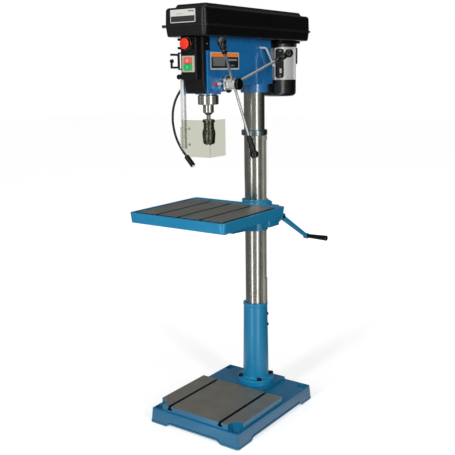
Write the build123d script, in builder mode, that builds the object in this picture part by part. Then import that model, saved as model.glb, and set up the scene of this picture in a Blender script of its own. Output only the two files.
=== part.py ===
from build123d import *
from math import atan2, cos, degrees, hypot, pi, radians, sin, tan
import os

os.makedirs("parts", exist_ok=True)

# Floor-standing pillar drill. Millimetres, +Z up, front at -Y, feed handles at +X.
# The origin is on the floor, at the centre of the four floor-bolt holes.

# Driving dimensions
column_d = 92.0
throat = 290.0
column_y = 187.0
table_w, table_d = 480.0, 451.0
table_top_z = 957.0
base_w, base_d = 475.0, 612.0
quill_travel = 120.0
head_bottom_z = 1430.0
head_top_z = 1648.0

# Values that follow from them
column_r = column_d / 2
spindle_y = column_y - throat - column_r
run = 0.05
gap = 0.4
column_axis = Axis((0, column_y, 0), (0, 0, 1))
spindle_axis = Axis((0, spindle_y, 0), (0, 0, 1))
column_side = Plane.XZ.offset(-column_y)
spindle_side = Plane.XZ.offset(-spindle_y)


def save(piece, name):
    piece.part.label = name
    export_step(piece.part, f"parts/{name}.step")


def along_x(x, y, z):
    return Plane(origin=(x, y, z), x_dir=(0, 1, 0), z_dir=(1, 0, 0))


def along_y(x, y, z):
    return Plane(origin=(x, y, z), x_dir=(1, 0, 0), z_dir=(0, 1, 0))


def rod(start, end, radius, mode=Mode.ADD):
    run_vector = Vector(*end) - Vector(*start)
    with BuildSketch(Plane(origin=start, z_dir=run_vector)) as section:
        Circle(radius)
    extrude(section.sketch, amount=run_vector.length, mode=mode)


def tooth_ring(teeth, module, backlash=0.25):
    """Outline points of a straight-flanked gear about the origin."""
    pitch_r = module * teeth / 2
    half = pi / teeth / 2 - backlash / pitch_r
    lean = module * tan(radians(20)) / pitch_r
    points = []
    for k in range(teeth):
        mid = 2 * pi * k / teeth
        tip, root = pitch_r + module, pitch_r - 1.25 * module
        for radius, side in ((root, -1), (tip, -1), (tip, 1), (root, 1)):
            turn = mid + side * (half + lean if radius == root else half - lean)
            points.append((radius * cos(turn), radius * sin(turn)))
    return points


def rack_outline(low, high, module, tip, backlash=0.25):
    """Outline points of a rack: flat back, teeth between two heights, full at both ends."""
    pitch = pi * module
    root = tip - 2.25 * module
    half_tip = pitch / 4 - module * tan(radians(20)) - backlash
    half_root = pitch / 4 + 1.25 * module * tan(radians(20)) - backlash
    count = int((high - low) / pitch)
    points = [(tip, low + half_tip)]
    for k in range(count):
        mid = low + pitch * (k + 1)
        points += [(root, mid - pitch + half_root), (root, mid - half_root)]
        points += [(tip, mid - half_tip), (tip, mid + half_tip)]
    return points


# Base: drafted casting on four feet, hollow below, with a machined pad and two T-slots
rim_z, pad_z, deck_z = 66.0, 92.0, 80.0
base_draft = 6.5
pad_half_w, pad_front, pad_back = 220.0, -291.0, 65.0
deck_half_w, deck_back, deck_lap = 100.0, 294.0, 20.0
floor_hole_x, floor_hole_y, floor_hole_r = 205.0, 270.0, 9.0
floor_seat_r, floor_seat_d = 22.0, 9.0
notch_r = 30.0
base_wall, hollow_top_z = 20.0, 54.0
corner_block_x, corner_block_y = 170.0, 235.0
slot_w, slot_neck, tee_w, tee_h = 14.0, 10.0, 24.0, 9.0
pad_slot_x = 135.0
foot_gap_h = 12.0
post_bolt_circle_r, post_bolt_r = 73.5, 6.0
post_bolt_angle = 45.0

floor_holes = [(x, y) for x in (-floor_hole_x, floor_hole_x) for y in (-floor_hole_y, floor_hole_y)]

with BuildPart() as base:
    with BuildSketch():
        RectangleRounded(base_w, base_d, 14)
    extrude(amount=rim_z, taper=base_draft)
    edges_top = base.edges().group_by(Axis.Z)[-1]
    fillet(edges_top, 4)
    with BuildSketch(Plane.XY.offset(rim_z - 6)):
        with Locations((0, (pad_front + pad_back) / 2)):
            Rectangle(2 * pad_half_w, pad_back - pad_front)
        for side in (-1, 1):
            with Locations((side * floor_hole_x, -floor_hole_y)):
                Circle(notch_r, mode=Mode.SUBTRACT)
            with Locations((side * floor_hole_x, -floor_hole_y - notch_r)):
                Rectangle(2 * notch_r, 2 * notch_r, mode=Mode.SUBTRACT)
            with Locations((side * (floor_hole_x + notch_r), -floor_hole_y)):
                Rectangle(2 * notch_r, 2 * notch_r, mode=Mode.SUBTRACT)
    extrude(amount=pad_z - rim_z + 6)
    with BuildSketch(Plane.XY.offset(rim_z - 6)):
        with Locations((0, (pad_back - deck_lap + deck_back) / 2)):
            Rectangle(2 * deck_half_w, deck_back - pad_back + deck_lap)
    extrude(amount=deck_z - rim_z + 6, taper=12)
    # Plain hollow below, with a solid block in each corner for the floor bolts
    with BuildSketch():
        Rectangle(base_w - 2 * base_wall, base_d - 2 * base_wall)
        block_w, block_d = base_w / 2 - base_wall - corner_block_x, base_d / 2 - base_wall - corner_block_y
        with GridLocations(2 * corner_block_x + block_w, 2 * corner_block_y + block_d, 2, 2):
            Rectangle(block_w, block_d, mode=Mode.SUBTRACT)
    extrude(amount=hollow_top_z, mode=Mode.SUBTRACT)
    # Arched gaps between the feet
    with BuildSketch(Plane.XZ.offset(-base_d)):
        with BuildLine():
            Polyline((-150, -1), (-126, foot_gap_h), (126, foot_gap_h), (150, -1), close=True)
        make_face()
    extrude(amount=2 * base_d, mode=Mode.SUBTRACT)
    with BuildSketch(Plane.YZ.offset(-base_w)):
        with BuildLine():
            Polyline((-208, -1), (-192, foot_gap_h), (198, foot_gap_h), (214, -1), close=True)
        make_face()
    extrude(amount=2 * base_w, mode=Mode.SUBTRACT)
    # T-slots of the pad
    for slot_x in (-pad_slot_x, pad_slot_x):
        with Locations((slot_x, (pad_front + pad_back) / 2, pad_z)):
            Box(slot_w, pad_back - pad_front + 2, 2 * slot_neck, mode=Mode.SUBTRACT)
        with Locations((slot_x, (pad_front + pad_back) / 2, pad_z - slot_neck - tee_h / 2)):
            Box(tee_w, pad_back - pad_front + 2, tee_h, mode=Mode.SUBTRACT)
    with Locations(*[(x, y, rim_z) for x, y in floor_holes]):
        CounterBoreHole(floor_hole_r, floor_seat_r, floor_seat_d)
    with Locations((0, column_y, deck_z)):
        with PolarLocations(post_bolt_circle_r, 4, post_bolt_angle):
            Hole(post_bolt_r + 0.5)
    # Kept as raised pad and deck, top plate, and a wall on each side
    for level in (rim_z, hollow_top_z):
        split(bisect_by=Plane.XY.offset(level), keep=Keep.BOTH)
    for wall_y in (-corner_block_y, corner_block_y):
        wall_cut = Face.make_rect(2 * base_w, 2 * hollow_top_z, Plane.XZ.offset(-wall_y))
        split(bisect_by=wall_cut, keep=Keep.BOTH)
save(base, "base_casting")

# Post: tapered pedestal with a bolted round flange, bored for the column
flange_r, flange_t = 86.0, 24.0
post_top_z = 468.0
post_foot_r, post_neck_r = 60.5, 55.8
column_foot_z = 98.0
bolt_flats, bolt_head_h, bolt_len, washer_t, washer_r = 18.0, 8.0, 46.0, 2.5, 11.0
flange_top_z = deck_z + flange_t

with BuildPart() as post:
    with BuildSketch(column_side):
        with BuildLine():
            Polyline(
                (0, deck_z),
                (flange_r, deck_z),
                (flange_r, flange_top_z),
                (post_foot_r, flange_top_z),
                (post_neck_r, post_top_z - 16),
                (post_neck_r + 1.5, post_top_z - 12),
                (post_neck_r + 1.5, post_top_z - 3),
                (post_neck_r - 1.5, post_top_z),
                (0, post_top_z),
                close=True,
            )
        make_face()
    revolve(axis=column_axis)
    with BuildSketch(Plane.XY.offset(column_foot_z)):
        with Locations((0, column_y)):
            Circle(column_r)
    extrude(amount=post_top_z, mode=Mode.SUBTRACT)
    rings = post.edges().filter_by(GeomType.CIRCLE)
    fillet(rings.filter_by(lambda e: abs(e.radius - post_foot_r) < 0.1), 10)
    rings = post.edges().filter_by(GeomType.CIRCLE)
    fillet(rings.filter_by(lambda e: abs(e.radius - flange_r) < 0.1).sort_by(Axis.Z)[-1], 5)
    with Locations((0, column_y, flange_top_z)):
        with PolarLocations(post_bolt_circle_r, 4, post_bolt_angle):
            Hole(post_bolt_r + 0.5)
            Cylinder(washer_r + 0.6, 24, align=(Align.CENTER, Align.CENTER, Align.MIN), mode=Mode.SUBTRACT)
save(post, "column_post")

# Four hex bolts that hold the post's flange down
with BuildPart() as post_bolts:
    with Locations((0, column_y, flange_top_z)):
        with PolarLocations(post_bolt_circle_r, 4, post_bolt_angle):
            Cylinder(washer_r, washer_t, align=(Align.CENTER, Align.CENTER, Align.MIN))
            Cylinder(post_bolt_r, bolt_len, align=(Align.CENTER, Align.CENTER, Align.MAX))
    with BuildSketch(Plane.XY.offset(flange_top_z + washer_t)):
        with Locations((0, column_y)):
            with PolarLocations(post_bolt_circle_r, 4, post_bolt_angle):
                RegularPolygon(bolt_flats / 2, 6, major_radius=False)
    extrude(amount=bolt_head_h)
save(post_bolts, "post_bolts")

# Column: bare ground steel tube
column_top_z = 1584.0
column_wall = 8.0

with BuildPart() as column:
    with BuildSketch(Plane.XY.offset(column_foot_z)):
        with Locations((0, column_y)):
            Circle(column_r)
            Circle(column_r - column_wall, mode=Mode.SUBTRACT)
    extrude(amount=column_top_z - column_foot_z)
    chamfer(column.edges().group_by(Axis.Z)[-1], 1.5)
save(column, "column")

# Rack collar: ring that holds the top of the rack on the column
collar_r, collar_low_z, collar_high_z = 57.5, 1238.0, 1262.0

with BuildPart() as rack_collar:
    with BuildSketch(Plane.XY.offset(collar_low_z)):
        with Locations((0, column_y)):
            Circle(collar_r)
            Circle(column_r, mode=Mode.SUBTRACT)
    extrude(amount=collar_high_z - collar_low_z)
    rings = rack_collar.edges().filter_by(GeomType.CIRCLE)
    chamfer(rings.filter_by(lambda e: abs(e.radius - collar_r) < 0.1), 2)
    with BuildSketch(along_x(column_r - 1, column_y, (collar_low_z + collar_high_z) / 2)):
        Circle(4.5)
    extrude(amount=20, mode=Mode.SUBTRACT)
save(rack_collar, "rack_collar")

# Rack: turns round the column with the table, toothed between full ends
rack_module, rack_half_w = 2.5, 10.0
rack_tip_x = column_r + 14.0
rack_back_x = column_r + gap
rack_low_z, rack_high_z = post_top_z + gap, collar_low_z - gap
gear_z = 900.2
rack_pitch = pi * rack_module
teeth_low_z = gear_z - 39.5 * rack_pitch
teeth_high_z = 1224.0

with BuildPart() as rack:
    with BuildSketch(Plane.XZ.offset(-column_y - rack_half_w)):
        with BuildLine():
            Polyline(
                (rack_back_x, rack_low_z),
                (rack_tip_x, rack_low_z),
                *rack_outline(teeth_low_z, teeth_high_z, rack_module, rack_tip_x),
                (rack_tip_x, rack_high_z),
                (rack_back_x, rack_high_z),
                close=True,
            )
        make_face()
    extrude(amount=2 * rack_half_w)
save(rack, "rack")

# Table bracket: split ring on the column, gear case on the right, arm and tilt face in front
ring_r, ring_low_z, ring_high_z = 59.0, 812.0, 952.0
case_low_z, case_high_z = 832.0, 923.0
case_left, case_right, case_front, case_back = 40.0, 96.0, column_y - 28, column_y + 58
gear_teeth, wheel_teeth = 12, 20
gear_pitch_r = rack_module * gear_teeth / 2
gear_x = rack_tip_x - rack_module + gear_pitch_r
gear_shaft_r = 8.0
wheel_r, worm_r = 16.0, 9.7
neck_right, neck_half_d, neck_chamfer = 78.0, 22.0, 8.0
wheel_y = column_y + 39
worm_z = gear_z - wheel_r - worm_r - 0.5
worm_left, worm_right = 58.0, 88.0
worm_nose_r, worm_nose_x = 25.0, 106.0
arm_half_w = 38.0
tilt_y, tilt_z, tilt_face_r, tilt_bolt_r = column_y - 230, 868.0, 40.0, 10.0
ear_y, ear_z, ear_half_w, clamp_r = column_y + 78, 882.0, 30.0, 6.0

with BuildPart() as bracket:
    with BuildSketch(Plane.XY.offset(ring_low_z)):
        with Locations((0, column_y)):
            Circle(ring_r)
    extrude(amount=ring_high_z - ring_low_z)
    chamfer(bracket.edges().group_by(Axis.Z)[-1], 2)
    with BuildSketch(Plane.XY.offset(case_low_z)):
        with Locations(((case_left + case_right) / 2, (case_front + case_back) / 2)):
            RectangleRounded(case_right - case_left, case_back - case_front, 7)
    extrude(amount=case_high_z - case_low_z)
    with BuildSketch(Plane.XZ.offset(-column_y - neck_half_d)):
        with BuildLine():
            Polyline(
                (0, case_low_z),
                (neck_right, case_low_z),
                (neck_right, ring_high_z - 2 - neck_chamfer),
                (neck_right - 2 * neck_chamfer, ring_high_z - 2),
                (0, ring_high_z - 2),
                close=True,
            )
        make_face()
    extrude(amount=2 * neck_half_d)
    with BuildSketch(along_x(worm_left, wheel_y, worm_z)):
        Circle(worm_nose_r)
    extrude(amount=worm_nose_x - worm_left)
    with BuildSketch(Plane.YZ.offset(-arm_half_w)):
        with BuildLine():
            Polyline(
                (column_y - 45, ring_low_z + 4),
                (column_y - 130, tilt_z - tilt_face_r),
                (tilt_y, tilt_z - tilt_face_r + 6),
                (tilt_y, tilt_z + 20),
                (column_y - 115, tilt_z + 20),
                (column_y - 45, ring_high_z - 20),
                close=True,
            )
        make_face()
    extrude(amount=2 * arm_half_w)
    fillet(bracket.edges().filter_by(Axis.Y).filter_by(lambda e: e.length > 100), 8)
    with BuildSketch(along_y(0, tilt_y, tilt_z)):
        Circle(tilt_face_r)
    extrude(amount=20)
    with BuildSketch(along_x(-ear_half_w, ear_y, ear_z)):
        Circle(26)
        with Locations((-20, 0)):
            Rectangle(40, 52)
    extrude(amount=2 * ear_half_w)
    # Bores, rack channel, gear pockets and the clamp slit
    with BuildSketch(Plane.XY.offset(ring_low_z - 1)):
        with Locations((0, column_y)):
            Circle(column_r + run)
        with Locations((rack_tip_x / 2, column_y)):
            Rectangle(rack_tip_x + 2 * gap, 2 * rack_half_w + 2 * gap)
        with Locations((0, column_y + column_r + 30)):
            Rectangle(4, 80)
    extrude(amount=ring_high_z - ring_low_z + 2, mode=Mode.SUBTRACT)
    with BuildSketch(along_y(gear_x, column_y - 12.5, gear_z)):
        Circle(gear_pitch_r + rack_module + 0.6)
    extrude(amount=25, mode=Mode.SUBTRACT)
    with BuildSketch(along_y(gear_x, wheel_y - 12, gear_z)):
        Circle(wheel_r + 0.6)
    extrude(amount=24, mode=Mode.SUBTRACT)
    rod((gear_x, column_y - 25, gear_z), (gear_x, column_y + 55, gear_z), gear_shaft_r + run, Mode.SUBTRACT)
    rod((worm_left - 7, wheel_y, worm_z), (worm_nose_x + 1, wheel_y, worm_z), gear_shaft_r + run, Mode.SUBTRACT)
    rod((worm_left - 1, wheel_y, worm_z), (worm_right + 1, wheel_y, worm_z), worm_r + 0.6, Mode.SUBTRACT)
    rod((0, tilt_y - 1, tilt_z), (0, tilt_y + 60, tilt_z), tilt_bolt_r, Mode.SUBTRACT)
    rod((-ear_half_w - 1, ear_y, ear_z), (ear_half_w + 1, ear_y, ear_z), clamp_r + run, Mode.SUBTRACT)
save(bracket, "table_bracket")

# Lift gear: pinion on the rack and wheel on the worm, on one short shaft
with BuildPart() as lift_gear:
    with BuildSketch(along_y(gear_x, column_y - 12, gear_z)):
        with BuildLine():
            Polyline(*tooth_ring(gear_teeth, rack_module), close=True)
        make_face()
    extrude(amount=24)
    wheel_module = 2 * wheel_r / (wheel_teeth + 2)
    with BuildSketch(along_y(gear_x, wheel_y - 11, gear_z)):
        with BuildLine():
            Polyline(*tooth_ring(wheel_teeth, wheel_module), close=True)
        make_face()
    extrude(amount=22)
    rod((gear_x, column_y - 24, gear_z), (gear_x, column_y + 54, gear_z), gear_shaft_r)
save(lift_gear, "lift_gear")

# Worm on the crank's shaft
worm_ring_count, worm_root_r = 6, 7.0
crank_hub_x0, crank_hub_x1, crank_hub_r = 107.0, 129.0, 17.0

with BuildPart() as crank_worm:
    rod((worm_left - 6, wheel_y, worm_z), (crank_hub_x1, wheel_y, worm_z), gear_shaft_r)
    ring_pitch = (worm_right - worm_left) / worm_ring_count
    with BuildSketch(Plane.XZ.offset(-wheel_y)):
        for k in range(worm_ring_count):
            x0 = worm_left + k * ring_pitch
            with BuildLine():
                Polyline(
                    (x0, worm_z),
                    (x0, worm_z + worm_root_r),
                    (x0 + 0.35 * ring_pitch, worm_z + worm_r),
                    (x0 + 0.65 * ring_pitch, worm_z + worm_r),
                    (x0 + ring_pitch, worm_z + worm_root_r),
                    (x0 + ring_pitch, worm_z),
                    close=True,
                )
            make_face()
    revolve(axis=Axis((0, wheel_y, worm_z), (1, 0, 0)))
save(crank_worm, "crank_worm")

# Crank arm: hub, tapered bar that swings out, end boss and the stud for the grip
pin_x, pin_y, pin_z = 182.0, column_y + 150, 773.0
stud_r, stud_end_x = 5.0, 280.0
grip_root_r, grip_end_r, grip_end_x = 9.5, 12.3, 289.6
crank_hub = (118.0, wheel_y, worm_z)
bar_run = Vector(pin_x, pin_y, pin_z) - Vector(*crank_hub)
bar_flat = Vector(1, 0, 0) - bar_run * (bar_run.X / bar_run.length**2)

with BuildPart() as crank_arm:
    rod((crank_hub_x0, wheel_y, worm_z), (crank_hub_x1, wheel_y, worm_z), crank_hub_r)
    rod((pin_x - 9, pin_y, pin_z), (pin_x + 9, pin_y, pin_z), 13)
    with BuildSketch(Plane(origin=crank_hub, x_dir=bar_flat, z_dir=bar_run)):
        RectangleRounded(13, 26, 5)
    with BuildSketch(Plane(origin=(pin_x, pin_y, pin_z), x_dir=bar_flat, z_dir=bar_run)):
        RectangleRounded(11, 20, 4)
    loft()
    rod((crank_hub_x0 - 1, wheel_y, worm_z), (crank_hub_x1 + 1, wheel_y, worm_z), gear_shaft_r, Mode.SUBTRACT)
    rod((pin_x, pin_y, pin_z), (stud_end_x, pin_y, pin_z), stud_r)
save(crank_arm, "crank_arm")

# Crank grip: turns freely on the stud
grip_root_x = pin_x + 9.5

with BuildPart() as crank_grip:
    with BuildSketch(Plane.XZ.offset(-pin_y)):
        with BuildLine():
            Polyline(
                (grip_root_x, pin_z),
                (grip_root_x, pin_z + grip_root_r - 1),
                (grip_root_x + 2, pin_z + grip_root_r),
                (grip_end_x, pin_z + grip_end_r),
                (grip_end_x, pin_z),
                close=True,
            )
        make_face()
    revolve(axis=Axis((0, pin_y, pin_z), (1, 0, 0)))
    fillet(crank_grip.faces().sort_by(Axis.X)[-1].edges(), 5)
    rod((pin_x, pin_y, pin_z), (stud_end_x + gap, pin_y, pin_z), stud_r + run, Mode.SUBTRACT)
save(crank_grip, "crank_grip")

# Clamp lever: stud through the split ears with a ball-ended handle on the left
clamp_handle_len = 84.0

with BuildPart() as clamp_lever:
    rod((-ear_half_w - 22, ear_y, ear_z), (ear_half_w + 10, ear_y, ear_z), clamp_r)
    rod((-ear_half_w - 24, ear_y, ear_z), (-ear_half_w - gap, ear_y, ear_z), 12)
    rod((ear_half_w + gap, ear_y, ear_z), (ear_half_w + 10, ear_y, ear_z), 11)
    handle_foot = (-ear_half_w - 14, ear_y, ear_z - clamp_handle_len)
    rod((-ear_half_w - 14, ear_y, ear_z), handle_foot, 5)
    with Locations(handle_foot):
        Sphere(11)
save(clamp_lever, "clamp_lever")

# Tilt bolt: the table turns on it, its nut locks the tilt
with BuildPart() as tilt_bolt:
    rod((0, tilt_y - 30, tilt_z), (0, tilt_y + 58, tilt_z), tilt_bolt_r)
    with BuildSketch(along_y(0, tilt_y - 32, tilt_z)):
        RegularPolygon(15, 6, major_radius=False)
    extrude(amount=14 - gap)
save(tilt_bolt, "tilt_bolt")

# Table: drafted plate with a coolant trough, three T-slots, ribs and a tilt face below
table_t, plate_t = 42.0, 26.0
table_y = tilt_y - 120.5
table_front, table_back = table_y - table_d / 2, table_y + table_d / 2
side_rim, rear_rim, trough_w, trough_d = 11.0, 38.0, 17.0, 8.0
table_slot_xs = (-108.0, 0.0, 108.0)
trough_front, trough_back = table_front + side_rim, table_back - rear_rim
land_front, land_back = trough_front + trough_w, trough_back - trough_w
trough_half_w = table_w / 2 - side_rim
land_half_w = trough_half_w - trough_w
hang_t = 18.0

with BuildPart() as table:
    with BuildSketch(Plane.XY.offset(table_top_z - table_t)):
        with Locations((0, table_y)):
            RectangleRounded(table_w - 10, table_d - 10, 16)
    extrude(amount=table_t, taper=-degrees(atan2(5, table_t)))
    fillet(table.edges().group_by(Axis.Z)[-1], 2)
    with BuildSketch(Plane.XY.offset(table_top_z - trough_d)):
        with Locations((0, (trough_front + trough_back) / 2)):
            RectangleRounded(2 * trough_half_w, trough_back - trough_front, 10)
        with Locations((0, (land_front + land_back) / 2)):
            Rectangle(2 * land_half_w, land_back - land_front, mode=Mode.SUBTRACT)
    extrude(amount=trough_d, mode=Mode.SUBTRACT)
    with BuildSketch(Plane.XY.offset(table_top_z - table_t)):
        with Locations((0, table_y)):
            RectangleRounded(table_w - 36, table_d - 36, 10)
            with GridLocations(150, 210, 2, 1):
                Rectangle(10, table_d, mode=Mode.SUBTRACT)
            with GridLocations(150, 150, 1, 2):
                Rectangle(table_w, 10, mode=Mode.SUBTRACT)
    extrude(amount=table_t - plate_t, mode=Mode.SUBTRACT)
    for slot_x in table_slot_xs:
        with Locations((slot_x, (trough_front + trough_back) / 2, table_top_z)):
            Box(slot_w, trough_back - trough_front - 6, 2 * slot_neck, mode=Mode.SUBTRACT)
        with Locations((slot_x, (trough_front + trough_back) / 2, table_top_z - slot_neck - tee_h / 2)):
            Box(tee_w, trough_back - trough_front - 6, tee_h, mode=Mode.SUBTRACT)
    with BuildSketch(along_y(0, tilt_y - gap - hang_t, tilt_z)):
        Circle(tilt_face_r)
        with Locations((0, -(table_top_z - plate_t - tilt_z) / 2)):
            Rectangle(2 * tilt_face_r, table_top_z - plate_t - tilt_z)
    extrude(amount=hang_t)
    rod((0, tilt_y - 40, tilt_z), (0, tilt_y + 1, tilt_z), tilt_bolt_r + run, Mode.SUBTRACT)
save(table, "table")

# Head: one casting with the quill housing, the column boss and a pocket between them
head_half_w, housing_half_w = 50.0, 57.0
head_front, head_back, head_low_z = -198.0, 256.0, 1461.0
housing_front, housing_back, housing_top_z, housing_arc_r = -224.0, 99.0, 1596.0, 85.0
boss_arc_r, boss_arc_z = 64.0, 1555.0
boss_ring_r, boss_ring_low_z = 59.5, 1425.0
quill_r, quill_boss_r, quill_boss_low_z = 36.0, 52.0, 1426.0
quill_roof_z, sleeve_r = 1624.0, 20.0
feed_module, feed_teeth = 2.0, 12
feed_pitch_r = feed_module * feed_teeth / 2
feed_y, feed_z, feed_shaft_r = spindle_y + quill_r - feed_module + feed_pitch_r, 1465.0, 15.0
bar_x, bar_z, bar_r = 34.0, 1630.0, 8.0
bar_end_y, motor_travel = 118.0, 25.0
lever_y, lever_z, lever_r = 160.0, 1613.0, 6.0
idler_pivot_y, idler_pivot_r = 165.0, 9.0
guard_y = -220.0

with BuildPart() as head:
    with BuildSketch(Plane.XY.offset(head_low_z)):
        with Locations((0, (head_front + head_back) / 2)):
            Rectangle(2 * head_half_w, head_back - head_front)
    extrude(amount=head_top_z - head_low_z)
    fillet(head.edges().filter_by(Axis.Z).group_by(Axis.Y)[-1], 12)
    fillet(head.faces().sort_by(Axis.Z)[0].edges().sort_by(Axis.Y)[-1], 8)
    with BuildSketch(Plane.YZ.offset(-housing_half_w)):
        with BuildLine():
            Polyline(
                (housing_back, housing_top_z - housing_arc_r),
                (housing_back, head_low_z),
                (housing_back - 150, head_low_z),
                (spindle_y + quill_boss_r, head_bottom_z + 6),
                (housing_front, head_bottom_z),
                (housing_front, housing_top_z),
                (housing_back - housing_arc_r, housing_top_z),
            )
            RadiusArc(
                (housing_back - housing_arc_r, housing_top_z),
                (housing_back, housing_top_z - housing_arc_r),
                housing_arc_r,
            )
        make_face()
    extrude(amount=2 * housing_half_w)
    with BuildSketch(Plane.YZ.offset(-housing_half_w)):
        with Locations((column_y, boss_arc_z)):
            Circle(boss_arc_r)
        with Locations((column_y, (boss_arc_z + head_low_z) / 2)):
            Rectangle(2 * boss_arc_r, boss_arc_z - head_low_z)
    extrude(amount=2 * housing_half_w)
    side_faces = head.faces().filter_by(Plane.YZ).filter_by(lambda f: abs(abs(f.center().X) - housing_half_w) < 0.1)
    fillet(side_faces.edges().filter_by(lambda e: e.center().Y > housing_front + 1), 5)
    with BuildSketch(Plane.XY.offset(boss_ring_low_z)):
        with Locations((0, column_y)):
            Circle(boss_ring_r)
    extrude(amount=head_low_z - boss_ring_low_z + 20)
    with BuildSketch(Plane.XY.offset(quill_boss_low_z)):
        with Locations((0, spindle_y)):
            Circle(quill_boss_r)
    extrude(amount=30)
    # Pad for the dial pointer on the right
    with BuildSketch(along_x(housing_half_w - 2, 0, 0)):
        with Locations((-158, 1452)):
            RectangleRounded(24, 18, 5)
    extrude(amount=9)
    # Pocket between the two bosses, open at the top
    with BuildSketch(Plane.XY.offset(head_low_z + 16)):
        with Locations((0, 30)):
            Rectangle(76, 170)
    extrude(amount=head_top_z, mode=Mode.SUBTRACT)
    # Bores
    with BuildSketch(Plane.XY.offset(boss_ring_low_z - 1)):
        with Locations((0, column_y)):
            Circle(column_r)
    extrude(amount=column_top_z - boss_ring_low_z + 1, mode=Mode.SUBTRACT)
    with BuildSketch(Plane.XY.offset(quill_boss_low_z - 1)):
        with Locations((0, spindle_y)):
            Circle(quill_r + run)
    extrude(amount=quill_roof_z - quill_boss_low_z + 1, mode=Mode.SUBTRACT)
    rod((0, spindle_y, quill_roof_z - 1), (0, spindle_y, head_top_z + 1), sleeve_r + run, Mode.SUBTRACT)
    rod((-70, feed_y, feed_z), (70, feed_y, feed_z), feed_shaft_r + run, Mode.SUBTRACT)
    for side in (-1, 1):
        bore_foot = (side * bar_x, bar_end_y - motor_travel - 5, bar_z)
        rod(bore_foot, (side * bar_x, head_back + 1, bar_z), bar_r + run, Mode.SUBTRACT)
    rod((20, lever_y, lever_z), (70, lever_y, lever_z), lever_r + run, Mode.SUBTRACT)
    rod((0, idler_pivot_y, 1600), (0, idler_pivot_y, head_top_z + 1), idler_pivot_r + run, Mode.SUBTRACT)
save(head, "head_casting")

# Front cover: thin shell over the front of the head
cover_front, cover_slant_y, cover_slant_z, cover_kink_z, cover_t = -244.0, -231.0, 1438.0, 1484.0, 3.0

with BuildPart() as front_cover:
    with BuildSketch(Plane.YZ.offset(-head_half_w)):
        with BuildLine():
            Polyline(
                (head_front, head_top_z),
                (cover_front, head_top_z),
                (cover_front, cover_kink_z),
                (cover_slant_y, cover_slant_z),
                (housing_front - 1, head_bottom_z + 1),
                (housing_front, head_bottom_z + 1),
                (housing_front, housing_top_z),
                (head_front, housing_top_z),
                close=True,
            )
        make_face()
    extrude(amount=2 * head_half_w)
    outer = front_cover.edges().filter_by(lambda e: e.center().Y < housing_front - 3)
    outer = outer.filter_by(lambda e: e.center().Z < head_top_z - 1 and abs(e.center().X) > head_half_w - 1)
    fillet(outer, 5)
    with BuildSketch(Plane.YZ.offset(-head_half_w + cover_t)):
        with BuildLine():
            Polyline(
                (head_front, head_top_z - cover_t),
                (cover_front + cover_t, head_top_z - cover_t),
                (cover_front + cover_t, cover_kink_z + 1),
                (cover_slant_y + cover_t, cover_slant_z + 2),
                (housing_front, head_bottom_z + 5),
                (housing_front, housing_top_z),
                (head_front, housing_top_z),
                close=True,
            )
        make_face()
    extrude(amount=2 * (head_half_w - cover_t), mode=Mode.SUBTRACT)
save(front_cover, "front_cover")

# Switch box with its moulded collar for the emergency stop
box_half_w, box_low_z, box_high_z, box_d, box_t = 38.0, 1486.0, 1648.0, 28.0, 3.0
box_face = cover_front - box_d
stop_z, stop_r, stop_stem_r, stop_travel = 1621.0, 21.0, 8.0, 5.0
collar_d, collar_out_r = 11.0, 24.5
post_x, post_z, post_r, post_len = 27.0, 16.0, 5.0, 25.0
plate_half, plate_mid_z, plate_thick = 31.0, 1545.0, 3.0
button_half_w, button_h, button_travel = 18.0, 22.4, 4.0
red_z, green_z = 1558.0, 1533.0
box_mid_z = (box_low_z + box_high_z) / 2
flap_x, flap_pin_y, flap_low_z, flap_high_z, flap_pin_r = -35.5, box_face - 14, 1528.0, 1584.0, 2.5
lug_t, lug_half_w = 5.0, 4.0

with BuildPart() as switch_box:
    with BuildSketch(along_y(0, box_face, box_mid_z)):
        RectangleRounded(2 * box_half_w, box_high_z - box_low_z, 5)
    extrude(amount=box_d)
    fillet(switch_box.faces().sort_by(Axis.Y)[0].edges(), 3)
    with BuildSketch(along_y(0, box_face + box_t, box_mid_z)):
        Rectangle(2 * (box_half_w - box_t), box_high_z - box_low_z - 2 * box_t)
    extrude(amount=box_d, mode=Mode.SUBTRACT)
    with BuildSketch(along_y(0, box_face - collar_d, stop_z)):
        Circle(collar_out_r)
        Circle(stop_r - 4, mode=Mode.SUBTRACT)
    extrude(amount=collar_d + 1)
    with BuildSketch(along_y(0, box_face - post_len, stop_z)):
        with GridLocations(2 * post_x, 2 * post_z, 2, 2):
            Circle(post_r)
    extrude(amount=post_len + 1)
    for lug_low_z in (flap_low_z - gap - lug_t, flap_high_z + gap):
        with BuildSketch(Plane.XY.offset(lug_low_z)):
            with Locations((flap_x, flap_pin_y)):
                Circle(lug_half_w)
            with Locations((flap_x, (flap_pin_y + box_face + 1) / 2)):
                Rectangle(2 * lug_half_w, box_face + 1 - flap_pin_y)
            with Locations((flap_x, flap_pin_y)):
                Circle(flap_pin_r + run, mode=Mode.SUBTRACT)
        extrude(amount=lug_t)
    rod((0, box_face - 20, stop_z), (0, box_face + 20, stop_z), stop_stem_r + 0.5, Mode.SUBTRACT)
    with BuildSketch(along_y(0, box_face - 1, plate_mid_z)):
        Rectangle(2 * button_half_w + 6, 2 * button_h + 8)
    extrude(amount=10, mode=Mode.SUBTRACT)
save(switch_box, "switch_box")

# Faceplate round the two push buttons
with BuildPart() as switch_plate:
    with BuildSketch(along_y(0, box_face - plate_thick, plate_mid_z)):
        RectangleRounded(2 * plate_half, 2 * plate_half, 3)
    extrude(amount=plate_thick)
    fillet(switch_plate.faces().sort_by(Axis.Y)[0].edges(), 1)
    for button_z in (red_z, green_z):
        with Locations((0, box_face, button_z)):
            Box(2 * button_half_w + 1, 20, button_h + 1, mode=Mode.SUBTRACT)
save(switch_plate, "switch_plate")

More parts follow.
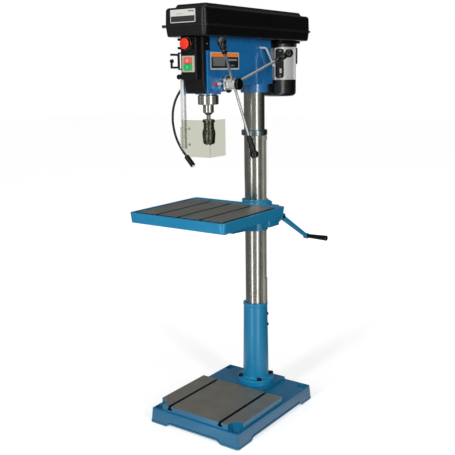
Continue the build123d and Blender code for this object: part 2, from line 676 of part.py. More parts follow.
button_face = box_face - plate_thick - 6
for button_name, button_z in (("stop_button", red_z), ("start_button", green_z)):
    with BuildPart() as push_button:
        with BuildSketch(along_y(0, button_face, button_z)):
            RectangleRounded(2 * button_half_w, button_h, 2)
        extrude(amount=16)
        fillet(push_button.faces().sort_by(Axis.Y)[0].edges(), 1.5)
    save(push_button, button_name)

# Emergency stop: domed mushroom on a stem
stop_back = box_face - collar_d - stop_travel - 1
stop_head_t = 13.0

with BuildPart() as stop_mushroom:
    with BuildSketch(Plane.YZ):
        with BuildLine():
            Polyline(
                (stop_back - stop_head_t, stop_z),
                (box_face + 12, stop_z),
                (box_face + 12, stop_z + stop_stem_r),
                (stop_back, stop_z + stop_stem_r),
                (stop_back, stop_z + stop_r - 2),
                (stop_back - 3, stop_z + stop_r),
                (stop_back - 7, stop_z + stop_r),
            )
            Spline(
                (stop_back - 7, stop_z + stop_r),
                (stop_back - stop_head_t + 2, stop_z + stop_r - 6),
                (stop_back - stop_head_t, stop_z),
                tangents=((-1, 0), (0, -1)),
            )
        make_face()
    revolve(axis=Axis((0, 0, stop_z), (0, 1, 0)))
save(stop_mushroom, "stop_mushroom")

# Switch flap: open frame on a vertical pin, drawn as it stands, swung out to the front
flap_len, flap_t, flap_bar = 49.0, 5.0, 8.0
latch_y, latch_z, latch_r = flap_pin_y - 41.0, 1556.0, 6.5

with BuildPart() as switch_flap:
    with BuildSketch(along_x(flap_x - flap_t / 2, 0, 0)):
        with Locations((flap_pin_y - flap_len / 2, flap_high_z - flap_bar / 2)):
            Rectangle(flap_len, flap_bar)
        with Locations((flap_pin_y - flap_len / 2, flap_low_z + flap_bar / 2)):
            Rectangle(flap_len, flap_bar)
        with Locations((flap_pin_y - flap_len + flap_bar / 2, (flap_low_z + latch_z) / 2)):
            Rectangle(flap_bar, latch_z - flap_low_z)
        with Locations((latch_y, latch_z)):
            Circle(latch_r + 1)
        with Locations((flap_pin_y - 3, (flap_low_z + flap_high_z) / 2)):
            Rectangle(6, flap_high_z - flap_low_z)
    extrude(amount=flap_t)
    with BuildSketch(along_x(flap_x - 7, latch_y, latch_z)):
        Circle(latch_r)
    extrude(amount=8)
    rod((flap_x, flap_pin_y, flap_low_z), (flap_x, flap_pin_y, flap_high_z), 4)
    rod((flap_x, flap_pin_y, flap_low_z - lug_t), (flap_x, flap_pin_y, flap_high_z + lug_t), flap_pin_r)
save(switch_flap, "switch_flap")

# Belt tray: shallow pan on the head, with a turned-out lip and hinge barrels on the left
guard_half_w, guard_front, guard_back, guard_corner_r = 100.0, -294.0, 507.0, 18.0
tray_low_z, seam_z, skin_t, lip_w, lip_t = head_top_z, 1689.0, 2.5, 6.0, 4.0
motor_y = 390.0
hinge_x, hinge_z, hinge_r, hinge_pin_r = -guard_half_w - 12.5, seam_z, 6.0, 3.0
hinge_ys = (-268.0, 430.0)
barrel_len = 16.0
guard_mid_y, guard_len = (guard_front + guard_back) / 2, guard_back - guard_front


def guard_outline(inset):
    """Long box outline with round corners, drawn in the current sketch."""
    with Locations((0, guard_mid_y)):
        RectangleRounded(2 * (guard_half_w - inset), guard_len - 2 * inset, guard_corner_r - inset)


with BuildPart() as belt_tray:
    with BuildSketch(Plane.XY.offset(tray_low_z)):
        guard_outline(6)
    extrude(amount=seam_z - tray_low_z, taper=-degrees(atan2(6, seam_z - tray_low_z)))
    fillet(belt_tray.faces().sort_by(Axis.Z)[0].edges(), 8)
    with BuildSketch(Plane.XY.offset(seam_z - lip_t)):
        guard_outline(-lip_w)
    extrude(amount=lip_t)
    with BuildSketch(Plane.XY.offset(tray_low_z + skin_t)):
        guard_outline(6 + skin_t)
    extrude(amount=seam_z - tray_low_z, taper=-degrees(atan2(6, seam_z - tray_low_z)), mode=Mode.SUBTRACT)
    with BuildSketch(Plane.XY.offset(tray_low_z - 1)):
        with Locations((0, spindle_y)):
            Circle(30)
        with Locations((0, idler_pivot_y)):
            Circle(15)
        with Locations((0, motor_y - 14)):
            SlotCenterToCenter(36, 50, rotation=90)
    extrude(amount=skin_t + 2, mode=Mode.SUBTRACT)
    for barrel_y in hinge_ys:
        rod((hinge_x, barrel_y - barrel_len - 0.5, hinge_z), (hinge_x, barrel_y - 0.5, hinge_z), hinge_r)
        with Locations((hinge_x + 4, barrel_y - barrel_len / 2 - 0.5, seam_z - lip_t / 2)):
            Box(8, barrel_len, lip_t)
        rod((hinge_x, barrel_y - 1, hinge_z), (hinge_x, barrel_y + barrel_len + 2, hinge_z), hinge_pin_r)
save(belt_tray, "belt_tray")

# Belt lid: deep thin shell with a raised plateau, hinged on the left
lid_low_z, lid_shoulder_z, lid_top_z = seam_z + gap, 1757.0, 1771.5
plateau_half_w, plateau_front, plateau_back = 80.0, -256.0, 466.0
shoulder_r = 14.0

with BuildPart() as lid_hollow:
    with BuildSketch(Plane.XY.offset(lid_low_z - 1)):
        guard_outline(skin_t)
    extrude(amount=lid_shoulder_z - skin_t - lid_low_z + 1, taper=2)
    fillet(lid_hollow.faces().sort_by(Axis.Z)[-1].edges(), shoulder_r - skin_t)
    with BuildSketch(Plane.XY.offset(lid_shoulder_z - skin_t - 1)):
        with Locations((0, (plateau_front + plateau_back) / 2)):
            RectangleRounded(2 * plateau_half_w - 10, plateau_back - plateau_front - 10, 13)
    extrude(amount=lid_top_z - lid_shoulder_z + 1, taper=35)

with BuildPart() as belt_lid:
    with BuildSketch(Plane.XY.offset(lid_low_z)):
        guard_outline(0)
    extrude(amount=lid_shoulder_z - lid_low_z, taper=2)
    fillet(belt_lid.faces().sort_by(Axis.Z)[-1].edges(), shoulder_r)
    with BuildSketch(Plane.XY.offset(lid_shoulder_z)):
        with Locations((0, (plateau_front + plateau_back) / 2)):
            RectangleRounded(2 * plateau_half_w, plateau_back - plateau_front, 14)
    extrude(amount=lid_top_z - lid_shoulder_z, taper=35)
    fillet(belt_lid.faces().sort_by(Axis.Z)[-1].edges(), 6)
    with BuildSketch(Plane.XY.offset(lid_low_z)):
        guard_outline(-lip_w)
    extrude(amount=3)
    add(lid_hollow.part, mode=Mode.SUBTRACT)
    for barrel_y in hinge_ys:
        rod((hinge_x, barrel_y + 0.5, hinge_z), (hinge_x, barrel_y + barrel_len + 0.5, hinge_z), hinge_r)
        with Locations((hinge_x + 4.5, barrel_y + barrel_len / 2 + 0.5, lid_low_z + 1.5)):
            Box(8, barrel_len, 3)
        rod((hinge_x, barrel_y - 20, hinge_z), (hinge_x, barrel_y + 20, hinge_z), hinge_pin_r + run, Mode.SUBTRACT)
save(belt_lid, "belt_lid")

# Three four-step pulleys: the idler's steps run the other way up
step_h, pulley_low_z = 16.0, 1664.0
groove_d, groove_w = 7.0, 10.0
idler_y = 118.0
spindle_steps = (80.0, 68.0, 56.0, 44.0)
idler_steps = (40.0, 52.0, 64.0, 76.0)
motor_steps = (88.0, 76.0, 64.0, 52.0)
spline_r, idler_shaft_r, motor_shaft_r = 12.0, 8.5, 9.5
sleeve_low_z = 1560.0


def step_outline(steps, bore_r):
    """Half section of a stepped V-pulley as radius and height points."""
    points = [(bore_r, pulley_low_z)]
    for k, radius in enumerate(steps):
        low = pulley_low_z + k * step_h
        mid = low + step_h / 2
        points += [(radius, low), (radius, mid - groove_w / 2)]
        points += [(radius - groove_d, mid - groove_w / 2 + 1.2), (radius - groove_d, mid + groove_w / 2 - 1.2)]
        points += [(radius, mid + groove_w / 2), (radius, low + step_h)]
    points.append((bore_r, pulley_low_z + step_h * len(steps)))
    return points


with BuildPart() as spindle_pulley:
    with BuildSketch(spindle_side):
        with BuildLine():
            Polyline(*step_outline(spindle_steps, spline_r + run), close=True)
        make_face()
    revolve(axis=spindle_axis)
    with BuildSketch(Plane.XY.offset(sleeve_low_z)):
        with Locations((0, spindle_y)):
            Circle(sleeve_r)
            Circle(spline_r + run, mode=Mode.SUBTRACT)
    extrude(amount=pulley_low_z - sleeve_low_z)
save(spindle_pulley, "spindle_pulley")

with BuildPart() as idler_pulley:
    with BuildSketch(Plane.XZ.offset(-idler_y)):
        with BuildLine():
            Polyline(*step_outline(idler_steps, idler_shaft_r + run), close=True)
        make_face()
    revolve(axis=Axis((0, idler_y, 0), (0, 0, 1)))
save(idler_pulley, "idler_pulley")

with BuildPart() as motor_pulley:
    with BuildSketch(Plane.XZ.offset(-motor_y)):
        with BuildLine():
            Polyline(*step_outline(motor_steps, motor_shaft_r), close=True)
        make_face()
    revolve(axis=Axis((0, motor_y, 0), (0, 0, 1)))
save(motor_pulley, "motor_pulley")

# Idler arm: swings on a post in the head and carries the idler's shaft
arm_low_z, arm_t = tray_low_z + skin_t + 1, 9.0
pulley_high_z = pulley_low_z + step_h * 4

with BuildPart() as idler_arm:
    with BuildSketch(Plane.XY.offset(arm_low_z)):
        with Locations((0, (idler_y + idler_pivot_y) / 2)):
            SlotCenterToCenter(idler_pivot_y - idler_y, 34, rotation=90)
    extrude(amount=arm_t)
    rod((0, idler_pivot_y, 1602), (0, idler_pivot_y, arm_low_z), idler_pivot_r)
    rod((0, idler_y, arm_low_z), (0, idler_y, pulley_high_z + 4), idler_shaft_r)
    rod((0, idler_y, pulley_high_z + gap), (0, idler_y, pulley_high_z + 4), 13)
save(idler_arm, "idler_arm")

# Two belts: the front one on the second steps, the rear one on the third
belt_t, belt_h = 6.5, 6.6

belt_runs = (
    ("front_belt", 1, spindle_y, spindle_steps, idler_y, idler_steps),
    ("rear_belt", 2, idler_y, idler_steps, motor_y, motor_steps),
)

for belt_name, step, y0, steps0, y1, steps1 in belt_runs:
    belt_z = pulley_low_z + (step + 0.5) * step_h
    with BuildPart() as belt:
        for shrink, belt_mode in ((0.0, Mode.ADD), (belt_t, Mode.SUBTRACT)):
            with BuildSketch(Plane.XY.offset(belt_z - belt_h / 2)):
                with Locations((0, y0)):
                    Circle(steps0[step] - shrink)
                with Locations((0, y1)):
                    Circle(steps1[step] - shrink)
                make_hull()
            extrude(amount=belt_h, mode=belt_mode)
    save(belt, belt_name)

# Quill: ground sleeve with rack teeth on its back, hollow at the top for the pulley's sleeve
quill_low_z, quill_high_z, quill_well_z, quill_well_r = 1385.0, 1622.0, 1550.0, 27.0
spindle_r, bearing_r, bearing_h = 17.0, 26.0, 16.0
quill_pitch = pi * feed_module
quill_teeth_low_z = feed_z - 2.5 * quill_pitch
quill_teeth_high_z = feed_z + quill_travel + 3 * quill_pitch

with BuildPart() as quill:
    with BuildSketch(Plane.XY.offset(quill_low_z)):
        with Locations((0, spindle_y)):
            Circle(quill_r)
            Circle(spindle_r + 2, mode=Mode.SUBTRACT)
    extrude(amount=quill_high_z - quill_low_z)
    rod((0, spindle_y, quill_low_z), (0, spindle_y, quill_low_z + bearing_h), bearing_r, Mode.SUBTRACT)
    rod((0, spindle_y, quill_well_z - bearing_h), (0, spindle_y, quill_well_z), bearing_r, Mode.SUBTRACT)
    rod((0, spindle_y, quill_well_z), (0, spindle_y, quill_high_z), quill_well_r, Mode.SUBTRACT)
    with BuildSketch(Plane.YZ.offset(-30)):
        with BuildLine():
            cut_points = rack_outline(quill_teeth_low_z, quill_teeth_high_z, feed_module, spindle_y + quill_r)
            far_y = spindle_y + quill_r + 5
            Polyline((far_y, cut_points[0][1]), *cut_points, (far_y, cut_points[-1][1]), close=True)
        make_face()
    extrude(amount=60, mode=Mode.SUBTRACT)
save(quill, "quill")

# Clamped collar at the foot of the quill
quill_collar_r, quill_collar_high_z = 42.0, 1423.0

with BuildPart() as quill_collar:
    with BuildSketch(Plane.XY.offset(quill_low_z)):
        with Locations((0, spindle_y)):
            Circle(quill_collar_r)
            Circle(quill_r, mode=Mode.SUBTRACT)
    extrude(amount=quill_collar_high_z - quill_low_z)
    rings = quill_collar.edges().filter_by(GeomType.CIRCLE)
    chamfer(rings.filter_by(lambda e: abs(e.radius - quill_collar_r) < 0.1), 2)
save(quill_collar, "quill_collar")

with BuildPart() as quill_bearings:
    for seat_z, inner_r in ((quill_low_z, spindle_r), (quill_well_z - bearing_h, spline_r)):
        with BuildSketch(Plane.XY.offset(seat_z)):
            with Locations((0, spindle_y)):
                Circle(bearing_r)
                Circle(inner_r + run, mode=Mode.SUBTRACT)
        extrude(amount=bearing_h)
save(quill_bearings, "quill_bearings")

# Spindle: tapered nose below, splined tail above
nose_r, nose_low_z, cone_low_z, cone_low_r = 22.0, 1354.0, 1344.5, 12.6
spindle_high_z = 1716.0
taper_top_r, taper_low_r, taper_top_z = 9.0, 12.0, 1412.0
spline_count = 6

with BuildPart() as spindle:
    with BuildSketch(spindle_side):
        with BuildLine():
            Polyline(
                (0, taper_top_z),
                (taper_top_r, taper_top_z),
                (taper_low_r, cone_low_z),
                (cone_low_r, cone_low_z),
                (nose_r, nose_low_z),
                (nose_r, quill_low_z - gap),
                (spindle_r, quill_low_z - gap),
                (spindle_r, quill_well_z - bearing_h - 4),
                (spline_r, quill_well_z - bearing_h - 4),
                (spline_r, spindle_high_z),
                (0, spindle_high_z),
                close=True,
            )
        make_face()
    revolve(axis=spindle_axis)
    with BuildSketch(Plane.XY.offset(quill_well_z + 6)):
        with Locations((0, spindle_y)):
            with PolarLocations(spline_r, spline_count):
                Rectangle(4, 4)
    extrude(amount=spindle_high_z - quill_well_z, mode=Mode.SUBTRACT)
save(spindle, "spindle")

# Chuck body: taper shank, arbor, hood ring and the core that guides the jaws
arbor_r, hood_low_z, hood_high_z, hood_r = 8.3, 1314.0, 1326.0, 24.8
core_r, core_low_z, nose_bore_r = 18.5, 1226.0, 7.0
jaw_tilt = 10.0
jaw_w, jaw_t, jaw_len = 6.0, 7.0, 30.0
jaw_foot_r = 5.0
jaw_count = 3

jaw_planes = []
for k in range(jaw_count):
    turn = radians(90 + 120 * k)
    out = Vector(cos(turn), sin(turn), 0)
    lean = out * sin(radians(jaw_tilt)) + Vector(0, 0, cos(radians(jaw_tilt)))
    foot = Vector(0, spindle_y, core_low_z - 3) + out * jaw_foot_r
    jaw_planes.append(Plane(origin=foot, x_dir=Vector(0, 0, 1).cross(out), z_dir=lean))

with BuildPart() as chuck_body:
    with BuildSketch(spindle_side):
        with BuildLine():
            Polyline(
                (0, core_low_z),
                (core_r - 3, core_low_z),
                (core_r, core_low_z + 6),
                (core_r, hood_low_z),
                (hood_r, hood_low_z),
                (hood_r, hood_high_z - 2),
                (hood_r - 3, hood_high_z),
                (arbor_r, hood_high_z),
                (arbor_r, cone_low_z - 1),
                (taper_low_r - run, cone_low_z),
                (taper_top_r - run, taper_top_z - 2),
                (0, taper_top_z - 2),
                close=True,
            )
        make_face()
    revolve(axis=spindle_axis)
    rod((0, spindle_y, core_low_z - 1), (0, spindle_y, hood_low_z - 20), nose_bore_r, Mode.SUBTRACT)
    for jaw_plane in jaw_planes:
        with BuildSketch(jaw_plane.offset(-14)):
            with Locations((0, -jaw_t / 2)):
                Rectangle(jaw_w + 2 * gap, jaw_t + 2 * gap)
        extrude(amount=14 + jaw_len + 2, mode=Mode.SUBTRACT)
save(chuck_body, "chuck_body")

# Chuck sleeve: the knurled outer shell that is turned by hand
with BuildPart() as chuck_sleeve:
    with BuildSketch(spindle_side):
        with BuildLine():
            Polyline(
                (core_r + run, hood_low_z - gap),
                (20, hood_low_z - gap),
                (21, hood_low_z - 3),
                (21, 1292),
            )
            Spline((21, 1292), (24.6, 1280), (26, 1263), (23.8, 1240), (20, 1226), tangents=((0.1, -1), (-0.5, -1)))
            Polyline((20, 1226), (core_r + run, 1226), (core_r + run, hood_low_z - gap))
        make_face()
    revolve(axis=spindle_axis)
save(chuck_sleeve, "chuck_sleeve")

for k, jaw_plane in enumerate(jaw_planes):
    with BuildPart() as chuck_jaw:
        with BuildSketch(jaw_plane):
            with Locations((0, -jaw_t / 2)):
                Rectangle(jaw_w, jaw_t)
        extrude(amount=jaw_len)
    save(chuck_jaw, f"chuck_jaw_{k + 1}")

# Feed hub: pinion shaft through the head and the hub for the three spokes, one turned piece
feed_axis = Axis((0, feed_y, feed_z), (1, 0, 0))
feed_side = Plane.XZ.offset(-feed_y)
pinion_half, spring_end_r = 20.0, 8.0
hub_x0, hub_x1, hub_r, hub_neck_r, cap_r = 72.0, 112.0, 23.5, 20.5, 23.5
spoke_r, spoke_root_x, spoke_tip_x, spoke_tip_r = 5.5, 94.0, 208.0, 288.0
spoke_angles = (146.0, 26.0, -94.0)
grip_len, spoke_in_grip = 92.0, 60.0


def spoke_point(angle, x, radius):
    return (x, feed_y + radius * cos(radians(angle)), feed_z + radius * sin(radians(angle)))


def along_spoke(angle, distance):
    span = hypot(spoke_tip_x - spoke_root_x, spoke_tip_r)
    part = distance / span
    return spoke_point(angle, spoke_root_x + part * (spoke_tip_x - spoke_root_x), part * spoke_tip_r)


spoke_span = hypot(spoke_tip_x - spoke_root_x, spoke_tip_r)

with BuildPart() as feed_hub:
    with BuildSketch(feed_side):
        with BuildLine():
            Polyline(
                (-84, feed_z),
                (-84, feed_z + spring_end_r),
                (-housing_half_w, feed_z + spring_end_r),
                (-housing_half_w, feed_z + feed_shaft_r),
                (-pinion_half, feed_z + feed_shaft_r),
                (-pinion_half, feed_z + feed_pitch_r - 1.25 * feed_module),
                (pinion_half, feed_z + feed_pitch_r - 1.25 * feed_module),
                (pinion_half, feed_z + feed_shaft_r),
                (hub_x0, feed_z + feed_shaft_r),
                (hub_x0, feed_z + hub_r),
                (hub_x0 + 5, feed_z + hub_r),
                (hub_x0 + 7, feed_z + hub_neck_r),
                (hub_x0 + 11, feed_z + hub_neck_r),
                (hub_x0 + 13, feed_z + hub_r),
                (hub_x1, feed_z + hub_r),
                (hub_x1, feed_z),
                close=True,
            )
        make_face()
    revolve(axis=feed_axis)
    with BuildSketch(along_x(-pinion_half, feed_y, feed_z)):
        with BuildLine():
            Polyline(*tooth_ring(feed_teeth, feed_module), close=True)
        make_face()
    extrude(amount=2 * pinion_half)
    for angle in spoke_angles:
        rod(along_spoke(angle, 12), along_spoke(angle, 40), spoke_r, Mode.SUBTRACT)
save(feed_hub, "feed_hub")

with BuildPart() as feed_rods:
    for angle in spoke_angles:
        rod(along_spoke(angle, 12), along_spoke(angle, spoke_span - grip_len + spoke_in_grip), spoke_r)
save(feed_rods, "feed_rods")

# Grip: turned form with two swells and a flared end
with BuildPart() as grip_form:
    with BuildSketch(Plane.XZ):
        with BuildLine():
            Polyline((spoke_r, spoke_in_grip), (spoke_r, 0), (8, 0), (9, 5))
            Spline(
                (9, 5), (11.5, 18), (9.8, 31), (13.6, 46), (11.6, 60), (18, 78), (13.5, 89), (0, grip_len),
                tangents=((0.3, 1), (-1, 0)),
            )
            Polyline((0, grip_len), (0, spoke_in_grip), (spoke_r, spoke_in_grip))
        make_face()
    revolve(axis=Axis.Z)

with BuildPart() as feed_grips:
    for angle in spoke_angles:
        grip_foot = along_spoke(angle, spoke_span - grip_len)
        grip_run = Vector(*along_spoke(angle, spoke_span)) - Vector(*grip_foot)
        with Locations(Plane(origin=grip_foot, z_dir=grip_run).location):
            add(grip_form.part)
save(feed_grips, "feed_grips")

with BuildPart() as hub_cap:
    with BuildSketch(along_x(hub_x1, feed_y, feed_z)):
        Circle(cap_r)
    extrude(amount=14)
    fillet(hub_cap.faces().sort_by(Axis.X)[-1].edges(), 5)
save(hub_cap, "hub_cap")

# Depth ring on the shaft and the pointer fixed beside it
ring_x0, ring_x1, depth_ring_r = housing_half_w + 1.5, hub_x0 - 1.0, 34.5

with BuildPart() as depth_ring:
    with BuildSketch(along_x(ring_x0, feed_y, feed_z)):
        Circle(depth_ring_r)
        Circle(feed_shaft_r + run, mode=Mode.SUBTRACT)
    extrude(amount=ring_x1 - ring_x0)
    rings = depth_ring.edges().filter_by(GeomType.CIRCLE)
    chamfer(rings.filter_by(lambda e: abs(e.radius - depth_ring_r) < 0.1), 1.5)
save(depth_ring, "depth_ring")

with BuildPart() as depth_pointer:
    with BuildSketch(along_x(housing_half_w, 0, 0)):
        with BuildLine():
            Polyline((-184, 1461.5), (-184, 1473), (-150, 1473), (-139.5, 1467), (-150, 1461.5), close=True)
        make_face()
    extrude(amount=8)
save(depth_pointer, "depth_pointer")

# Return spring in its case on the left end of the feed shaft
case_x, case_r, case_wall = -86.0, 40.0, 3.0
coil_r0, coil_step, coil_turns, coil_t = 10.0, 3.0, 8, 1.4

with BuildPart() as spring_case:
    with BuildSketch(along_x(case_x, feed_y, feed_z)):
        Circle(case_r)
    extrude(amount=-housing_half_w - case_x)
    fillet(spring_case.faces().sort_by(Axis.X)[0].edges(), 4)
    rod((case_x + case_wall, feed_y, feed_z), (-housing_half_w, feed_y, feed_z), case_r - case_wall, Mode.SUBTRACT)
    rod((case_x - 1, feed_y, feed_z), (case_x + 5, feed_y, feed_z), spring_end_r + 0.5, Mode.SUBTRACT)
save(spring_case, "spring_case")

with BuildPart() as return_spring:
    with BuildSketch(along_x(-79, feed_y, feed_z)):
        with BuildLine():
            side = 1
            for half_turn in range(2 * coil_turns):
                r0 = coil_r0 + coil_step * half_turn / 2
                r1 = r0 + coil_step / 2
                ThreePointArc((side * r0, 0), (side * (r0 - r1) / 2, side * (r0 + r1) / 2), (-side * r1, 0))
                side = -side
        trace(line_width=coil_t)
    extrude(amount=16)
save(return_spring, "return_spring")

# Motor: finned can, end bell, fan cover, shaft and two boxes on its side
motor_r, can_low_z, can_high_z, bell_high_z = 72.0, 1476.0, 1621.0, 1637.0
fan_r, fan_low_z = 80.0, 1402.0
bell_r, ear_angle = 77.0, 20.0

with BuildPart() as motor_body:
    with BuildSketch(Plane.XY.offset(can_low_z)):
        with Locations((0, motor_y)):
            Circle(motor_r)
            with PolarLocations(motor_r + 2, 4, ear_angle):
                Circle(7)
    extrude(amount=can_high_z - can_low_z)
    rod((0, motor_y, can_high_z - 60), (0, motor_y, can_high_z + 1), motor_shaft_r + run, Mode.SUBTRACT)
save(motor_body, "motor_body")

with BuildPart() as motor_end_bell:
    with BuildSketch(Plane.XY.offset(can_high_z)):
        with Locations((0, motor_y)):
            Circle(bell_r)
            with PolarLocations(motor_r + 2, 4, ear_angle):
                Circle(10)
            Circle(motor_shaft_r + 1, mode=Mode.SUBTRACT)
    extrude(amount=bell_high_z - can_high_z)
    fillet(motor_end_bell.faces().sort_by(Axis.Z)[-1].outer_wire().edges(), 3)
save(motor_end_bell, "motor_end_bell")

with BuildPart() as fan_cover:
    with BuildSketch(Plane.XY.offset(fan_low_z)):
        with Locations((0, motor_y)):
            Circle(fan_r)
    extrude(amount=can_low_z - fan_low_z)
    fillet(fan_cover.faces().sort_by(Axis.Z)[0].edges(), 20)
    with BuildSketch(Plane.XY.offset(fan_low_z + skin_t)):
        with Locations((0, motor_y)):
            Circle(fan_r - skin_t - 8)
    extrude(amount=can_low_z - fan_low_z - 6, mode=Mode.SUBTRACT)
    with BuildSketch(Plane.XY.offset(fan_low_z - 1)):
        with Locations((0, motor_y)):
            with PolarLocations(32, 12):
                SlotOverall(36, 7)
    extrude(amount=skin_t + 2, mode=Mode.SUBTRACT)
save(fan_cover, "fan_cover")

with BuildPart() as motor_shaft:
    rod((0, motor_y, can_high_z - 58), (0, motor_y, pulley_high_z + 3), motor_shaft_r)
save(motor_shaft, "motor_shaft")

box_reach = 86.0
side_boxes = ((-54.0, 1485.0, 1612.0), (45.0, 1545.0, 1619.0))

with BuildPart() as capacitor_boxes:
    for angle, low, high in side_boxes:
        out = Vector(cos(radians(angle)), sin(radians(angle)), 0)
        box_foot = Vector(0, motor_y, (low + high) / 2) + out * 60
        with BuildSketch(Plane(origin=box_foot, x_dir=(0, 0, 1), z_dir=out)):
            RectangleRounded(high - low, 36, 9)
        extrude(amount=box_reach - 60)
    fillet(capacitor_boxes.edges().filter_by(lambda e: (e.center() - Vector(0, motor_y, e.center().Z)).length > 84), 4)
    with BuildSketch(Plane.XY.offset(can_low_z)):
        with Locations((0, motor_y)):
            Circle(motor_r)
            with PolarLocations(motor_r + 2, 4, ear_angle):
                Circle(7)
    extrude(amount=can_high_z - can_low_z, mode=Mode.SUBTRACT)
save(capacitor_boxes, "capacitor_boxes")

# Motor plate with its two slide bars
plate_high_z = head_top_z - gap
flange_y0, flange_y1, flange_low_z, flange_half_w = 296.0, 308.0, 1617.0, 50.0

with BuildPart() as motor_plate:
    with BuildSketch(Plane.XY.offset(bell_high_z)):
        with Locations((0, (flange_y0 + 470) / 2)):
            RectangleRounded(140, 470 - flange_y0, 8)
        with Locations((0, motor_y)):
            Circle(22, mode=Mode.SUBTRACT)
    extrude(amount=plate_high_z - bell_high_z)
    with BuildSketch(Plane.XZ.offset(-flange_y1)):
        with Locations((0, (flange_low_z + bell_high_z + 4) / 2)):
            Rectangle(2 * flange_half_w, bell_high_z + 4 - flange_low_z)
    extrude(amount=flange_y1 - flange_y0)
    for side in (-1, 1):
        rod((side * bar_x, bar_end_y, bar_z), (side * bar_x, flange_y1 - 2, bar_z), bar_r)
save(motor_plate, "motor_plate")

# Tension lever: bent rod on a cross shaft, with a ball tip
lever_shoulder_x, lever_rod_r, lever_ball_r = 58.0, 4.2, 6.5
lever_bend = Vector(72, lever_y + 18, lever_z - 8)
lever_tip = Vector(77, lever_y + 64, lever_z - 73)

with BuildPart() as tension_lever:
    rod((22, lever_y, lever_z), (lever_shoulder_x, lever_y, lever_z), lever_r)
    with BuildLine() as lever_path:
        bend_run = (lever_tip - lever_bend).normalized()
        Spline((lever_shoulder_x - 2, lever_y, lever_z), lever_bend, tangents=((1, 0, 0), bend_run))
        Line(lever_bend, lever_tip)
    with BuildSketch(along_x(lever_shoulder_x - 2, lever_y, lever_z)):
        Circle(lever_rod_r)
    sweep(path=lever_path.line)
    with Locations(lever_tip):
        Sphere(lever_ball_r)
save(tension_lever, "tension_lever")

# Chuck guard: bracket on the head, swinging rod, lock knob and the clear shield
guard_x, guard_rod_r, guard_rod_half = -72.0, 7.0, 9.0
rod_low_z, rod_high_z, socket_low_z, socket_high_z = 1210.0, 1482.0, 1486.0, 1506.0

with BuildPart() as guard_bracket:
    with BuildSketch(Plane.XY.offset(socket_low_z)):
        with Locations((guard_x, guard_y)):
            Circle(14)
        with Locations(((guard_x - housing_half_w) / 2, guard_y + 6)):
            Rectangle(-housing_half_w - guard_x, 20)
        with Locations((guard_x, guard_y)):
            Circle(guard_rod_r + run, mode=Mode.SUBTRACT)
    extrude(amount=socket_high_z - socket_low_z)
    rod((guard_x, guard_y - 30, 1496), (guard_x, guard_y, 1496), 4.0, Mode.SUBTRACT)
save(guard_bracket, "guard_bracket")

with BuildPart() as guard_rod:
    with BuildSketch(Plane.XY.offset(rod_low_z)):
        with Locations((guard_x, guard_y)):
            RectangleRounded(2 * guard_rod_half, 2 * guard_rod_half, 3)
            for slot_turn in range(4):
                with Locations(Location((0, 0), slot_turn * 90)):
                    with Locations((guard_rod_half, 0)):
                        Rectangle(6, 5, mode=Mode.SUBTRACT)
    extrude(amount=rod_high_z - rod_low_z)
    rod((guard_x, guard_y, rod_high_z), (guard_x, guard_y, socket_high_z + 3), guard_rod_r)
    rod((guard_x, guard_y, socket_high_z + gap), (guard_x, guard_y, socket_high_z + 4), guard_rod_r + 3)
save(guard_rod, "guard_rod")

with BuildPart() as guard_knob:
    rod((guard_x, guard_y - 26, 1496), (guard_x, guard_y - guard_rod_r - 0.6, 1496), 4.0 - run)
    rod((guard_x, guard_y - 28, 1496), (guard_x, guard_y - 14.6, 1496), 10)
    fillet(guard_knob.edges().filter_by(GeomType.CIRCLE).sort_by(Axis.Y)[0], 3)
save(guard_knob, "guard_knob")

shield_t, shield_low_z, shield_high_z = 3.0, 1180.0, 1327.0
sheet_y = guard_y - guard_rod_half - shield_t / 2 - 0.5
shield_right, shield_fold_y, shield_back = 60.0, -223.0, -119.0
carrier_half, carrier_low_z, carrier_high_z = 12.0, 1218.0, 1298.0

with BuildPart() as guard_shield:
    with BuildSketch(Plane.XY.offset(shield_low_z)):
        with BuildLine():
            Polyline((-74, sheet_y), (-20, sheet_y), (shield_right, shield_fold_y), (shield_right, shield_back))
        trace(line_width=shield_t)
    extrude(amount=shield_high_z - shield_low_z)
    with BuildSketch(Plane.XZ.offset(-sheet_y - 20)):
        with BuildLine():
            Polyline((-90, shield_low_z - 1), (-90, shield_low_z + 18), (-36, shield_low_z - 1), close=True)
        make_face()
    extrude(amount=40, mode=Mode.SUBTRACT)
    # Carrier that slides on the rod
    with BuildSketch(Plane.XY.offset(carrier_low_z)):
        with Locations((guard_x, (sheet_y + guard_y + carrier_half) / 2)):
            Rectangle(2 * carrier_half, guard_y + carrier_half - sheet_y)
        with Locations((guard_x, guard_y)):
            Rectangle(2 * guard_rod_half + 2 * gap, 2 * guard_rod_half + 2 * gap, mode=Mode.SUBTRACT)
    extrude(amount=carrier_high_z - carrier_low_z)
save(guard_shield, "guard_shield")

# Work lamp on a bent neck, fixed to the head's left side
neck_r, lamp_r, neck_y = 4.2, 11.0, -158.0
neck_end, lamp_top, lamp_end = (-114.5, 1172.6), (-113.8, neck_y, 1171.8), (-77.8, neck_y, 1132.8)

with BuildPart() as lamp_arm:
    with BuildLine(Plane.XZ.offset(-neck_y)) as neck_path:
        Line((-housing_half_w - 8, 1487), (-66, 1486.5))
        ThreePointArc((-66, 1486.5), (-148, 1425.6), (-181.5, 1330))
        ThreePointArc((-181.5, 1330), (-164.7, 1245), neck_end)
    with BuildSketch(Plane(origin=neck_path.line @ 0, z_dir=neck_path.line % 0)):
        Circle(neck_r)
    sweep(path=neck_path.line)
    rod((-housing_half_w, neck_y, 1487), (-housing_half_w - 10, neck_y, 1487), 13)
save(lamp_arm, "lamp_arm")

